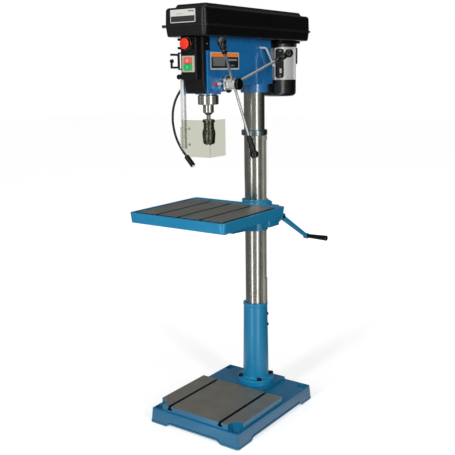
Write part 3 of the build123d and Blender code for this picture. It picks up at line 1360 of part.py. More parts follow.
lamp_run = Vector(*lamp_end) - Vector(*lamp_top)
with BuildPart() as lamp_head:
    with BuildSketch(Plane(origin=lamp_top, z_dir=lamp_run)):
        Circle(lamp_r)
    extrude(amount=lamp_run.length)
    fillet(lamp_head.edges().sort_by(Axis.Z)[-1], 5)
    chamfer(lamp_head.edges().sort_by(Axis.Z)[0], 1)
    rod(lamp_end, Vector(*lamp_end) - lamp_run * (3 / lamp_run.length), lamp_r - 2, Mode.SUBTRACT)
save(lamp_head, "lamp_head")
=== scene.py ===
import math

import bmesh
import bpy
from mathutils import Matrix, Vector


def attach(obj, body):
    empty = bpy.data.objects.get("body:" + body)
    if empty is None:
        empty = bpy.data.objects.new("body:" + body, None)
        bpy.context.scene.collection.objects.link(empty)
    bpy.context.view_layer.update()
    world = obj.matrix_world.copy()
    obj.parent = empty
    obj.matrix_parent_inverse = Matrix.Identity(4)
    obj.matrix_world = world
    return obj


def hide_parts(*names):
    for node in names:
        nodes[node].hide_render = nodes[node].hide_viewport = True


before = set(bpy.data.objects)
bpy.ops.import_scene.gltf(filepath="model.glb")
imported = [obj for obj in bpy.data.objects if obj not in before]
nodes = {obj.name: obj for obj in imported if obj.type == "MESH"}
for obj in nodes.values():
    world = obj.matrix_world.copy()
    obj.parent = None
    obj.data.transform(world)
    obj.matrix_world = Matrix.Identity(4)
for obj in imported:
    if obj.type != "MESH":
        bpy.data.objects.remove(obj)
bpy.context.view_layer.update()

scene = bpy.context.scene
scene.view_settings.view_transform = "Standard"
bpy.ops.object.select_all(action="DESELECT")
print("frame loaded with", len(nodes), "nodes")

white, black = (1.0, 1.0, 1.0, 1.0), (0.0, 0.0, 0.0, 1.0)
rightward, leftward, frontward, upward = (1, 0, 0), (-1, 0, 0), (0, -1, 0), (0, 0, 1)


def metres(place):  # from millimetres
    return Vector(place) / 1000


# Camera, where the photographer stood

photoCamera = {
    "place": (1.8204, -2.5661, 1.5030),  # metres
    "azimuth": 35.652,  # degrees to the right of the front
    "down": 11.706,
    "roll": -0.812,
    "lens": 58.41,  # millimetres on a 36 mm sensor
}


def makeCamera(look):
    azimuth, down, roll = (math.radians(look[key]) for key in ("azimuth", "down", "roll"))
    back = Vector((math.sin(azimuth) * math.cos(down), -math.cos(azimuth) * math.cos(down),
                   math.sin(down)))
    levelRight = Vector((math.cos(azimuth), math.sin(azimuth), 0))
    levelUp = back.cross(levelRight)
    right = math.cos(roll) * levelRight + math.sin(roll) * levelUp
    up = math.cos(roll) * levelUp - math.sin(roll) * levelRight
    turned = Matrix((right, up, back)).transposed().to_4x4()
    bpy.ops.object.camera_add()
    camera = bpy.context.object
    camera.name = "photoCamera"
    camera.data.lens = look["lens"]
    camera.matrix_world = Matrix.Translation(look["place"]) @ turned
    scene.camera = camera


makeCamera(photoCamera)
print("camera set")


# Small helpers for node trees

def rgb(red, green, blue):  # screen values 0 to 255 as a linear colour
    def linear(value):
        share = value / 255
        return share / 12.92 if share <= 0.04045 else ((share + 0.055) / 1.055) ** 2.4
    return (linear(red), linear(green), linear(blue), 1.0)


def setInputs(tree, node, values):  # a socket is linked, anything else is set
    for key, value in values.items():
        if isinstance(value, bpy.types.NodeSocket):
            tree.links.new(value, node.inputs[key])
        else:
            node.inputs[key].default_value = value


def addNode(tree, kind, inputs=None, **settings):
    node = tree.nodes.new(kind)
    for key, value in settings.items():
        setattr(node, key, value)
    setInputs(tree, node, inputs or {})
    return node


def maths(tree, operation, first, second=0.0, third=0.0, clamp=False):
    node = addNode(tree, "ShaderNodeMath", {0: first, 1: second, 2: third},
                   operation=operation, use_clamp=clamp)
    return node.outputs[0]


def vectorMaths(tree, operation, first, second=(0.0, 0.0, 0.0)):
    node = addNode(tree, "ShaderNodeVectorMath", {0: first, 1: second}, operation=operation)
    return node.outputs


def blendColor(tree, share, first, second):
    node = addNode(tree, "ShaderNodeMix", {0: share, 6: first, 7: second}, data_type="RGBA")
    return node.outputs[2]


def blendValue(tree, share, first, second):
    node = addNode(tree, "ShaderNodeMix", {0: share, 2: first, 3: second}, data_type="FLOAT")
    return node.outputs[0]


def remap(tree, value, source=(0.0, 1.0), target=(0.0, 1.0)):
    inputs = {0: value, 1: source[0], 2: source[1], 3: target[0], 4: target[1]}
    return addNode(tree, "ShaderNodeMapRange", inputs).outputs[0]


def noise(tree, place, scale, detail, rough=0.5):
    inputs = {"Vector": place, "Scale": scale, "Detail": detail, "Roughness": rough}
    return addNode(tree, "ShaderNodeTexNoise", inputs).outputs[0]


def objectPlace(tree):
    return addNode(tree, "ShaderNodeTexCoord").outputs["Object"]


def splitPlace(tree, place):  # its three measures
    return addNode(tree, "ShaderNodeSeparateXYZ", {0: place}).outputs


def bumpNormal(tree, height, normal=None):  # a height of one is a millimetre
    inputs = {"Strength": 1.0, "Distance": 0.001, "Height": height}
    if normal is not None:
        inputs["Normal"] = normal
    return addNode(tree, "ShaderNodeBump", inputs).outputs[0]


def newMaterial(name):
    material = bpy.data.materials.new(name)
    material.use_nodes = True
    tree = material.node_tree
    return material, tree, tree.nodes["Principled BSDF"]


# Effects shared by the finishes

brokenEdge = {"radius": 0.002, "samples": 6, "turn": (0.99, 0.80)}  # flat and fully rounded
sprayRipple = {
    "scale": 300.0, "detail": 2.0, "cloudScale": 7.0, "cloudDetail": 4.0, "cloudRange": (0.3, 0.7),
}
cutterLines = {
    "stretch": (40.0, 900.0, 40.0), "detail": 3.0, "rough": 0.7,
    "cloudScale": 11.0, "cloudDetail": 5.0, "cloudRange": (0.32, 0.68),
}


def newGroup(name, takes, gives):
    group = bpy.data.node_groups.new(name, "ShaderNodeTree")
    for label, (kind, value) in takes.items():
        socket = group.interface.new_socket(label, in_out="INPUT", socket_type=kind)
        socket.default_value = value
    for label, kind in gives.items():
        group.interface.new_socket(label, in_out="OUTPUT", socket_type=kind)
    given, out = addNode(group, "NodeGroupInput"), addNode(group, "NodeGroupOutput")
    return group, given.outputs, out


def effect(tree, group, **values):  # places a shared effect and sets its inputs
    return addNode(tree, "ShaderNodeGroup", values, node_tree=group).outputs


def slowClouds(group, place, look):  # a soft change from place to place
    return remap(group, noise(group, place, look["cloudScale"], look["cloudDetail"]),
                 look["cloudRange"])


def makeSoftEdge(look):  # broken edges: a rounded normal and a mask along them
    group, given, out = newGroup(
        "softEdge", {"Radius": ("NodeSocketFloat", look["radius"])},
        {"Normal": "NodeSocketVector", "Mask": "NodeSocketFloat"})
    bevel = addNode(group, "ShaderNodeBevel", {"Radius": given["Radius"]}, samples=look["samples"])
    flat = addNode(group, "ShaderNodeNewGeometry").outputs["Normal"]
    turn = vectorMaths(group, "DOT_PRODUCT", bevel.outputs[0], flat)["Value"]
    setInputs(group, out, {"Normal": bevel.outputs[0], "Mask": remap(group, turn, look["turn"])})
    return group


def makePaintPeel(look):  # the ripple of sprayed paint and its slow change of tone
    group, given, out = newGroup(
        "paintPeel", {"Scale": ("NodeSocketFloat", look["scale"])},
        {"Height": "NodeSocketFloat", "Tone": "NodeSocketFloat"})
    place = objectPlace(group)
    setInputs(group, out, {"Height": noise(group, place, given["Scale"], look["detail"]),
                           "Tone": slowClouds(group, place, look)})
    return group


def makeToolMarks(look):  # fine lines left by a cutter or a grinding wheel
    group, given, out = newGroup(
        "toolMarks", {"Stretch": ("NodeSocketVector", look["stretch"])},
        {"Lines": "NodeSocketFloat", "Patches": "NodeSocketFloat"})
    place = objectPlace(group)
    drawn = vectorMaths(group, "MULTIPLY", place, given["Stretch"])["Vector"]
    setInputs(group, out, {"Lines": noise(group, drawn, 1.0, look["detail"], look["rough"]),
                           "Patches": slowClouds(group, place, look)})
    return group


def makeBoxMask():  # one inside a box, zero outside it
    group, given, out = newGroup(
        "boxMask", {"Centre": ("NodeSocketVector", (0.0, 0.0, 0.0)),
                    "Half": ("NodeSocketVector", (1.0, 1.0, 1.0))},
        {"Mask": "NodeSocketFloat"})
    offset = vectorMaths(group, "SUBTRACT", objectPlace(group), given["Centre"])["Vector"]
    away = vectorMaths(group, "ABSOLUTE", offset)["Vector"]
    over = splitPlace(group, vectorMaths(group, "SUBTRACT", away, given["Half"])["Vector"])
    worst = maths(group, "MAXIMUM", maths(group, "MAXIMUM", over[0], over[1]), over[2])
    setInputs(group, out, {"Mask": maths(group, "LESS_THAN", worst, 0.0)})
    return group


softEdge = makeSoftEdge(brokenEdge)
paintPeel = makePaintPeel(sprayRipple)
toolMarks = makeToolMarks(cutterLines)
boxMask = makeBoxMask()
print("shared effects made")


# Finishes

def rubbedLitColor(tree, tone, edge, look):  # two tones, with a lighter colour along the edges: partly wear, partly painted highlight
    color = blendColor(tree, tone, look["dark"], look["color"])
    # lighter edges: painted highlight, partly wear
    rubbedLit = maths(tree, "MULTIPLY", edge["Mask"], look["edgeRubAndSheen"])
    return blendColor(tree, rubbedLit, color, look["edgeRubSheenColor"])


def castPaint(name, look, machined=None):  # painted casting, with a bare machined face where given
    material, tree, shader = newMaterial(name)
    peel = effect(tree, paintPeel, Scale=look["peelScale"])
    edge = effect(tree, softEdge, Radius=look["edgeRadius"])
    color = rubbedLitColor(tree, peel["Tone"], edge, look)
    rough = remap(tree, peel["Tone"], target=(look["rough"] - look["roughSpan"],
                                              look["rough"] + look["roughSpan"]))
    height = maths(tree, "MULTIPLY", peel["Height"], look["peelDepth"])
    surface = {"Coat Weight": look["coat"]}
    if machined:
        marks = effect(tree, toolMarks, Stretch=machined["stretch"])
        face = effect(tree, boxMask, Centre=machined["centre"], Half=machined["half"])["Mask"]
        hollow = effect(tree, boxMask, Centre=machined["hollowCentre"],
                        Half=machined["hollowHalf"])["Mask"]
        bare = blendColor(tree, marks["Patches"], machined["dark"], machined["color"])
        # slots and trough darkened: painted shade, partly oily bare iron
        color = blendColor(tree, hollow, color, machined["hollowShadeColor"])
        color = blendColor(tree, face, color, bare)
        polished = remap(tree, marks["Patches"],
                         target=(machined["rough"] + machined["roughSpan"], machined["rough"]))
        rough = blendValue(tree, face, rough, polished)
        lines = maths(tree, "MULTIPLY", marks["Lines"], machined["lineDepth"])
        height = blendValue(tree, face, height, lines)
        painted = maths(tree, "SUBTRACT", 1.0, face)
        surface = {"Metallic": maths(tree, "MULTIPLY", face, machined["metallic"]),
                   "Coat Weight": maths(tree, "MULTIPLY", painted, look["coat"])}
    setInputs(tree, shader, {
        "Base Color": color, "Roughness": rough,
        "Normal": bumpNormal(tree, height, edge["Normal"]),
        "Coat Roughness": look["coatRough"], "Coat IOR": look["coatIor"], **surface})
    return material


def bareSteel(name, look):  # turned, ground or plated metal
    material, tree, shader = newMaterial(name)
    marks = effect(tree, toolMarks, Stretch=look["stretch"])
    edge = effect(tree, softEdge, Radius=look["edgeRadius"])
    rough = remap(tree, marks["Lines"], look["lineRange"],
                  (look["rough"] - look["roughSpan"], look["rough"] + look["roughSpan"]))
    height = maths(tree, "MULTIPLY", marks["Lines"], look["lineDepth"])
    setInputs(tree, shader, {
        "Base Color": rubbedLitColor(tree, marks["Patches"], edge, look), "Roughness": rough,
        "Metallic": look["metallic"], "Normal": bumpNormal(tree, height, edge["Normal"])})
    return material


def mouldedPlastic(name, look, prints=()):  # grained or glossy, with printed areas where given
    material, tree, shader = newMaterial(name)
    grain = effect(tree, paintPeel, Scale=look["grainScale"])
    edge = effect(tree, softEdge, Radius=look["edgeRadius"])
    color = rubbedLitColor(tree, grain["Tone"], edge, look)
    for low, high, ink in prints:  # corners in millimetres
        low, high = metres(low), metres(high)
        area = effect(tree, boxMask, Centre=(low + high) / 2, Half=(high - low) / 2)["Mask"]
        color = blendColor(tree, area, color, ink)
    rough = remap(tree, grain["Tone"], target=(look["rough"] + look["roughSpan"],
                                               look["rough"] - look["roughSpan"]))
    height = maths(tree, "MULTIPLY", grain["Height"], look["grainDepth"])
    setInputs(tree, shader, {
        "Base Color": color, "Roughness": rough,
        "Normal": bumpNormal(tree, height, edge["Normal"]),
        "Specular IOR Level": look["specular"], "Coat Weight": look["coat"],
        "Coat Roughness": look["coatRough"]})
    return material


def clearSheet(name, look):  # tinted clear guard, lightly scratched
    material, tree, shader = newMaterial(name)
    marks = effect(tree, toolMarks, Stretch=look["stretch"])
    height = maths(tree, "MULTIPLY", marks["Lines"], look["lineDepth"])
    sleeve = effect(tree, boxMask, Centre=look["sleeveCentre"], Half=look["sleeveHalf"])["Mask"]
    shadow = addNode(tree, "ShaderNodeLightPath").outputs["Is Shadow Ray"]
    alpha = blendValue(tree, sleeve, 1.0, look["sleeveAlpha"])
    setInputs(tree, shader, {
        "Base Color": look["color"], "Transmission Weight": 1.0, "IOR": look["ior"],
        "Roughness": remap(tree, marks["Patches"], target=look["rough"]),
        "Alpha": blendValue(tree, shadow, alpha, look["shadowAlpha"]),
        "Normal": bumpNormal(tree, height)})
    return material


bluePaint = {
    "color": rgb(16, 128, 172), "dark": rgb(14, 122, 166), "edgeRubSheenColor": rgb(84, 160, 198),
    "edgeRubAndSheen": 0.45, "edgeRadius": 0.0022, "rough": 0.36, "roughSpan": 0.04,
    "peelScale": 260.0, "peelDepth": 0.06, "coat": 0.6, "coatIor": 1.5, "coatRough": 0.26,
}
# the blue paint made darker for the base: painted shade, as less light reaches it low down
shadedBaseBlue = dict(bluePaint, color=rgb(14, 104, 144), dark=rgb(12, 98, 138),
                edgeRubSheenColor=rgb(66, 138, 174))
headBlue = dict(bluePaint, color=rgb(18, 118, 184), dark=rgb(16, 112, 176),
                edgeRubSheenColor=rgb(70, 150, 205), rough=0.28, coat=1.0, coatIor=2.0, coatRough=0.13)
# lighter blue on the bead along the base's lower edge: painted highlight
beadHighlightBlue = dict(bluePaint, color=rgb(58, 132, 166), dark=rgb(52, 124, 158))
# dark blue for the strip above the bead: painted shadow
shadowLineBlue = dict(bluePaint, color=rgb(8, 58, 88), dark=rgb(8, 52, 80), edgeRubAndSheen=0.0, coat=0.0)
armIron = dict(bluePaint, color=rgb(58, 58, 60), dark=rgb(48, 48, 50),
               edgeRubSheenColor=rgb(100, 100, 102), rough=0.55, coat=0.0)

tableFace = {  # the ground top, and the slots and trough below it, painted dark: painted shade, with the oily bare iron of the slots
    "centre": (0.0, -0.177, 0.960), "half": (0.2125, 0.1845, 0.0033),
    "hollowCentre": (0.0, -0.177, 0.940), "hollowHalf": (0.2285, 0.2005, 0.0160),
    "color": rgb(152, 149, 139), "dark": rgb(138, 135, 126), "hollowShadeColor": rgb(18, 34, 48),
    "rough": 0.30, "roughSpan": 0.08, "metallic": 0.6,
    "stretch": (900.0, 35.0, 60.0), "lineDepth": 0.03,
}
baseFace = dict(tableFace, centre=(0.0, -0.113, 0.095), half=(0.222, 0.180, 0.0033),
                hollowCentre=(0.0, -0.113, 0.080), hollowHalf=(0.150, 0.1775, 0.0117), rough=0.42)

columnSteel = {
    "color": rgb(186, 186, 180), "dark": rgb(178, 178, 171), "edgeRubSheenColor": rgb(205, 205, 200),
    "edgeRubAndSheen": 0.5, "edgeRadius": 0.001, "rough": 0.23, "roughSpan": 0.02, "metallic": 1.0,
    "stretch": (60.0, 60.0, 1400.0), "lineRange": (0.25, 0.75), "lineDepth": 0.002,
}
collarSteel = dict(columnSteel, color=rgb(146, 164, 174), dark=rgb(134, 152, 162),
                   edgeRubSheenColor=rgb(170, 182, 190), rough=0.24)
quillSteel = dict(columnSteel, color=rgb(206, 204, 196), dark=rgb(196, 194, 186), rough=0.20)
motorSilver = dict(columnSteel, color=rgb(226, 229, 226), dark=rgb(218, 221, 218), rough=0.36,
                   stretch=(300.0, 300.0, 300.0), metallic=0.3)
rackSteel = dict(columnSteel, color=rgb(168, 164, 156), dark=rgb(150, 146, 138), rough=0.34,
                 stretch=(300.0, 40.0, 700.0), lineDepth=0.01)
rackCream = dict(rackSteel, color=rgb(172, 170, 158), dark=rgb(158, 156, 144), rough=0.45,
                 metallic=0.3)
boltSteel = dict(rackSteel, color=rgb(52, 52, 54), dark=rgb(42, 42, 44),
                 edgeRubSheenColor=rgb(120, 120, 122), rough=0.38)
screwSteel = dict(rackSteel, color=rgb(196, 195, 190), dark=rgb(184, 183, 178), rough=0.30)
dialSteel = dict(rackSteel, color=rgb(206, 210, 212), dark=rgb(196, 200, 202), rough=0.20)
chuckSteel = dict(rackSteel, color=rgb(158, 160, 160), dark=rgb(138, 140, 141),
                  edgeRubSheenColor=rgb(190, 191, 192), rough=0.30, lineDepth=0.002)
jawSteel = dict(rackSteel, color=rgb(104, 106, 108), dark=rgb(80, 82, 85),
                edgeRubSheenColor=rgb(180, 181, 182), rough=0.36)
rodAlloy = dict(rackSteel, color=rgb(210, 210, 206), dark=rgb(200, 200, 196),
                edgeRubSheenColor=rgb(220, 220, 217), rough=0.20, stretch=(120.0, 120.0, 900.0),
                metallic=0.85)
pulleyAlloy = dict(rackSteel, color=rgb(196, 196, 198), dark=rgb(176, 176, 178), rough=0.36,
                   stretch=(60.0, 60.0, 900.0), metallic=0.35)
brassRing = dict(rackSteel, color=rgb(176, 150, 92), dark=rgb(160, 134, 80),
                 edgeRubSheenColor=rgb(210, 190, 140), rough=0.35)
brightChrome = dict(rackSteel, color=rgb(222, 222, 220), dark=rgb(212, 212, 210),
                    edgeRubSheenColor=rgb(236, 236, 236), rough=0.12, lineDepth=0.002)
hubAlloy = dict(brightChrome, color=rgb(224, 224, 218), dark=rgb(216, 216, 210), rough=0.30,
                metallic=0.55)
guardAlloy = dict(brightChrome, color=rgb(222, 223, 222), dark=rgb(214, 215, 214), rough=0.45,
                  metallic=0.1)

coverBlack = {
    "color": rgb(8, 8, 9), "dark": rgb(6, 6, 7), "edgeRubSheenColor": rgb(84, 82, 78),
    "edgeRubAndSheen": 0.25, "edgeRadius": 0.003, "rough": 0.30, "roughSpan": 0.04,
    "grainScale": 900.0, "grainDepth": 0.03, "specular": 0.65, "coat": 0.0, "coatRough": 0.08,
}
blackPlastic = dict(coverBlack, color=rgb(12, 12, 13), rough=0.40, edgeRadius=0.0015, specular=0.4)
fanBlack = dict(blackPlastic, rough=0.24, specular=0.85)
gripBlack = dict(coverBlack, color=rgb(10, 10, 10), rough=0.16, grainScale=300.0, grainDepth=0.01,
                 edgeRadius=0.001, coat=0.15, specular=0.45)
neckBlack = dict(coverBlack, color=rgb(22, 22, 23), rough=0.45, grainScale=1500.0,
                 edgeRadius=0.0008)
beltRubber = dict(neckBlack, rough=0.6)
stopRed = dict(coverBlack, color=rgb(232, 52, 26), dark=rgb(218, 44, 22),
               edgeRubSheenColor=rgb(246, 104, 70), grainScale=200.0, grainDepth=0.02, coat=0.2)
keyRed = dict(stopRed, color=rgb(240, 92, 84), dark=rgb(230, 84, 76), edgeRubSheenColor=rgb(246, 150, 136))
startGreen = dict(stopRed, color=rgb(20, 182, 92), dark=rgb(18, 170, 84),
                  edgeRubSheenColor=rgb(90, 210, 150))
plateGrey = dict(coverBlack, color=rgb(178, 180, 160), dark=rgb(168, 170, 151),
                 edgeRubSheenColor=rgb(200, 202, 188), rough=0.4)
pointerWhite = dict(plateGrey, color=rgb(214, 212, 206), dark=rgb(204, 202, 196))
plateWhite = dict(plateGrey, color=rgb(206, 205, 200), dark=rgb(196, 195, 190),
                  edgeRubSheenColor=rgb(226, 225, 222), rough=0.35, edgeRadius=0.0006)
markWhite = dict(plateWhite, color=rgb(232, 230, 224), dark=rgb(226, 224, 218))
lensGlass = dict(plateWhite, color=rgb(232, 234, 234), dark=rgb(224, 226, 226), rough=0.10,
                 coat=1.0, grainDepth=0.0)

pointerInk = [((50, -190, 1450), (70, -173, 1480), rgb(206, 40, 36))]  # red half of the pointer
sideInk = [  # orange head, dark field, grey panel and two bars
    ((50, -201, 1572), (64, -16, 1587), rgb(255, 138, 46)),
    ((50, -201, 1528.4), (64, -16, 1571.8), rgb(26, 27, 30)),
    ((50, -191, 1536.2), (64, -110, 1570.6), rgb(112, 114, 114)),
    ((50, -90, 1557), (64, -26, 1564), rgb(150, 152, 160)),
    ((50, -71, 1536.4), (64, -46, 1540.4), rgb(130, 130, 132)),
]
frontInk = [  # dark field and two bars
    ((-63, -300, 1702), (53, -290, 1723.5), rgb(44, 46, 48)),
    ((-36, -300, 1731), (-4, -290, 1733), rgb(120, 126, 132)),
    ((22, -300, 1738), (50, -290, 1742), rgb(84, 90, 98)),
]
tagInk = [((40, 300, z), (70, 340, z + 1.2), rgb(120, 120, 120)) for z in (1510, 1514)]

shieldClear = {
    "color": rgb(203, 204, 190), "ior": 1.18, "rough": (0.02, 0.08),
    "stretch": (90.0, 90.0, 500.0), "lineDepth": 0.004,
    "shadowAlpha": 0.02,  # light passes to what is behind
    "sleeveAlpha": 0.0,  # the rod shows through its sleeve
    "sleeveCentre": (-0.072, -0.2175, 1.25), "sleeveHalf": (0.0165, 0.0115, 0.2),
}

finishes = {
    "base": castPaint("shadedBasePaint", shadedBaseBlue, baseFace),
    "blue": castPaint("bluePaint", bluePaint),
    "table": castPaint("tablePaint", bluePaint, tableFace),
    "head": castPaint("headPaint", headBlue),
    "bead": castPaint("beadHighlightPaint", beadHighlightBlue),
    "shadowLine": castPaint("shadowLinePaint", shadowLineBlue),
    "iron": castPaint("armIron", armIron),
    "column": bareSteel("columnSteel", columnSteel),
    "rack": bareSteel("rackCream", rackCream),
    "steel": bareSteel("rackSteel", rackSteel),
    "collar": bareSteel("collarSteel", collarSteel),
    "bolt": bareSteel("boltSteel", boltSteel),
    "screw": bareSteel("screwSteel", screwSteel),
    "dial": bareSteel("dialSteel", dialSteel),
    "hub": bareSteel("hubAlloy", hubAlloy),
    "quill": bareSteel("quillSteel", quillSteel),
    "guard": bareSteel("guardAlloy", guardAlloy),
    "brass": bareSteel("brassRing", brassRing),
    "chrome": bareSteel("brightChrome", brightChrome),
    "jaw": bareSteel("jawSteel", jawSteel),
    "chuck": bareSteel("chuckSteel", chuckSteel),
    "rod": bareSteel("rodAlloy", rodAlloy),
    "pulley": bareSteel("pulleyAlloy", pulleyAlloy),
    "motor": bareSteel("motorSilver", motorSilver),
    "cover": mouldedPlastic("coverBlack", coverBlack),
    "black": mouldedPlastic("blackPlastic", blackPlastic),
    "fan": mouldedPlastic("fanBlack", fanBlack),
    "grip": mouldedPlastic("gripBlack", gripBlack),
    "neck": mouldedPlastic("neckBlack", neckBlack),
    "plate": mouldedPlastic("plateGrey", plateGrey),
    "red": mouldedPlastic("stopRed", stopRed),
    "keyRed": mouldedPlastic("keyRed", keyRed),
    "green": mouldedPlastic("startGreen", startGreen),
    "pointer": mouldedPlastic("depthPointer", pointerWhite, pointerInk),
    "sidePlate": mouldedPlastic("sidePlate", plateWhite, sideInk),
    "frontPlate": mouldedPlastic("frontPlate", plateWhite, frontInk),
    "tag": mouldedPlastic("motorTag", markWhite, tagInk),
    "mark": mouldedPlastic("markWhite", markWhite),
    "lens": mouldedPlastic("lensGlass", lensGlass),
    "belt": mouldedPlastic("beltRubber", beltRubber),
    "clear": clearSheet("clearSheet", shieldClear),
}

nodeFinish = {
    "base": ["base_casting"],
    "blue": ["column_post", "table_bracket", "crank_arm"],
    "collar": ["rack_collar"],
    "table": ["table"],
    "head": ["head_casting"],
    "iron": ["idler_arm"],
    "column": ["column"],
    "rack": ["rack"],
    "steel": ["crank_worm", "lift_gear", "return_spring", "quill_bearings"],
    "bolt": ["post_bolts", "tilt_bolt"],
    "dial": ["depth_ring"],
    "chrome": ["clamp_lever", "motor_shaft"],
    "hub": ["feed_hub"],
    "quill": ["quill_collar", "quill", "spindle"],
    "guard": ["guard_rod", "tension_lever"],
    "jaw": ["chuck_jaw_1", "chuck_jaw_2", "chuck_jaw_3"],
    "chuck": ["chuck_body", "chuck_sleeve"],
    "rod": ["feed_rods"],
    "pulley": ["spindle_pulley", "idler_pulley", "motor_pulley"],
    "motor": ["motor_body"],
    "cover": ["belt_lid", "belt_tray"],
    "black": ["front_cover", "switch_box", "switch_flap", "capacitor_boxes", "motor_plate",
              "spring_case", "guard_bracket", "lamp_head"],
    "fan": ["motor_end_bell", "fan_cover"],
    "grip": ["feed_grips", "hub_cap", "crank_grip", "guard_knob"],
    "neck": ["lamp_arm"],
    "plate": ["switch_plate"],
    "red": ["stop_mushroom"],
    "keyRed": ["stop_button"],
    "green": ["start_button"],
    "pointer": ["depth_pointer"],
    "belt": ["front_belt", "rear_belt"],
    "clear": ["guard_shield"],
}


def setFinish(piece, finish):
    piece.data.materials.clear()
    piece.data.materials.append(finishes[finish])


for finish, names in nodeFinish.items():
    for name in names:
        setFinish(nodes[name], finish)
print("finishes set on", sum(len(names) for names in nodeFinish.values()), "nodes")


# Small fittings, modelled one by one and copied to their places

nearness = {  # slack when faces and edges are picked and doubles are joined
    "flat": 0.9, "level": 0.00005, "edge": 0.0001, "double": 0.00002,
}


def selectOnly(piece):
    bpy.ops.object.select_all(action="DESELECT")
    piece.select_set(True)
    bpy.context.view_layer.objects.active = piece


def namePiece(name):
    piece = bpy.context.object
    piece.name = piece.data.name = name
    bpy.ops.object.transform_apply()
    return piece


def startRound(name, radius, height, sides, ends="NGON"):  # upright, standing on the origin
    bpy.ops.object.select_all(action="DESELECT")
    bpy.ops.mesh.primitive_cylinder_add(vertices=sides, radius=radius, depth=height,
                                        end_fill_type=ends, location=(0, 0, height / 2))
    return namePiece(name)


def startBlock(name, width, tall, thick):  # lying on the origin
    bpy.ops.object.select_all(action="DESELECT")
    bpy.ops.mesh.primitive_cube_add(size=1.0, location=(0, 0, thick / 2),
                                    scale=(width, tall, thick))
    return namePiece(name)


def editPiece(piece):
    selectOnly(piece)
    bpy.ops.object.mode_set(mode="EDIT")


def leaveEdit(angle=40):  # edges sharper than the angle stay sharp
    bpy.ops.object.mode_set(mode="OBJECT")
    bpy.ops.object.shade_smooth_by_angle(angle=math.radians(angle))


def pickNothing(kind):
    bpy.ops.mesh.select_mode(type=kind)
    bpy.ops.mesh.select_all(action="DESELECT")


def pickFaces(piece, test):  # by centre and normal
    pickNothing("FACE")
    mesh = bmesh.from_edit_mesh(piece.data)
    for face in mesh.faces:
        if test(face.calc_center_median(), face.normal):
            face.select_set(True)
    bmesh.update_edit_mesh(piece.data)


def pickEdges(piece, test):  # by the places of both ends
    pickNothing("EDGE")
    mesh = bmesh.from_edit_mesh(piece.data)
    for edge in mesh.edges:
        if test(edge.verts[0].co, edge.verts[1].co):
            edge.select_set(True)
    bmesh.update_edit_mesh(piece.data)


def pickTop(piece, height):  # the flat faces on top
    pickFaces(piece, lambda centre, normal: isTop(centre, normal, height))


def isTop(centre, normal, height):
    return normal.z > nearness["flat"] and centre.z > height - nearness["level"]


def bevelPicked(offset, steps):
    bpy.ops.mesh.bevel(offset=offset, segments=steps, affect="EDGES")


def pushPicked(move):  # extrudes what is selected
    bpy.ops.mesh.extrude_region_move(TRANSFORM_OT_translate={"value": move})


def faceOutwards(merge=0.0):  # joins doubles where given, then turns the normals out
    bpy.ops.mesh.select_all(action="SELECT")
    if merge:
        bpy.ops.mesh.remove_doubles(threshold=merge)
    bpy.ops.mesh.normals_make_consistent(inside=False)


def useModifier(piece, kind, **settings):
    bpy.context.view_layer.objects.active = piece
    modifier = piece.modifiers.new(kind.title(), kind)
    for key, value in settings.items():
        setattr(modifier, key, value)
    bpy.ops.object.modifier_apply(modifier=modifier.name)


def placePiece(piece, place, facing):  # place in millimetres, and where its top looks
    selectOnly(piece)
    piece.location = metres(place)
    piece.rotation_euler = Vector(facing).to_track_quat("Z", "Y").to_euler()
    bpy.ops.object.transform_apply()


def settle(piece, body, finish):
    setFinish(piece, finish)
    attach(piece, body)


def placeCopies(master, name, spots, body, finish):  # spots: place and facing
    for count, (place, facing) in enumerate(spots, 1):
        selectOnly(master)
        bpy.ops.object.duplicate()
        copy = bpy.context.object
        copy.name = copy.data.name = name + "_" + str(count)
        placePiece(copy, place, facing)
        settle(copy, body, finish)


def spinCopies(piece, count, centre, axis):  # repeats a piece all round an axis
    editPiece(piece)
    bpy.ops.mesh.select_all(action="SELECT")
    bpy.ops.mesh.spin(steps=count, dupli=True, angle=2 * math.pi, center=metres(centre), axis=axis)
    faceOutwards(nearness["double"])
    leaveEdit()


# Screws: a cross-slotted pan head in two sizes, a hex head and a grub screw

panScrew = {
    "sides": 16, "radius": 0.0036, "height": 0.0022, "round": 0.0009, "steps": 3,
    "rim": 0.0006, "arm": 0.0012, "deep": 0.0010, "slack": 3,  # degrees
}
shieldScrew = dict(panScrew, radius=0.0058, height=0.0034, round=0.0014, rim=0.0009, arm=0.0019,
                   deep=0.0014)
hexHead = {
    "sides": 6, "radius": 0.0066, "height": 0.0048, "chamfer": 0.0007, "steps": 2,
    "inset": 0.0030, "deep": 0.0006, "smooth": 25,
}
grubScrew = {
    "sides": 24, "radius": 0.0041, "height": 0.0050, "chamfer": 0.0006, "steps": 1,
    "inset": 0.0018, "deep": 0.0028, "smooth": 40,
}


def modelPanScrew(look):
    height = look["height"]
    reach = look["radius"] - look["round"] - look["rim"]
    armTurn = 180 / look["sides"]  # where the middle of a face looks

    def inCross(centre, normal):
        away = math.hypot(centre.x, centre.y)
        turn = math.degrees(math.atan2(centre.y, centre.x)) % 90
        inArm = away < nearness["edge"] or abs(turn - armTurn) < look["slack"]
        return isTop(centre, normal, height) and away < reach and inArm

    piece = startRound("panScrew", look["radius"], height, look["sides"])
    editPiece(piece)
    pickTop(piece, height)
    bevelPicked(look["round"], look["steps"])
    pickTop(piece, height)
    bpy.ops.mesh.inset(thickness=look["rim"], depth=0)
    bpy.ops.mesh.inset(thickness=look["arm"], depth=0)
    pickFaces(piece, inCross)
    pushPicked((0, 0, -look["deep"]))
    leaveEdit()
    return piece


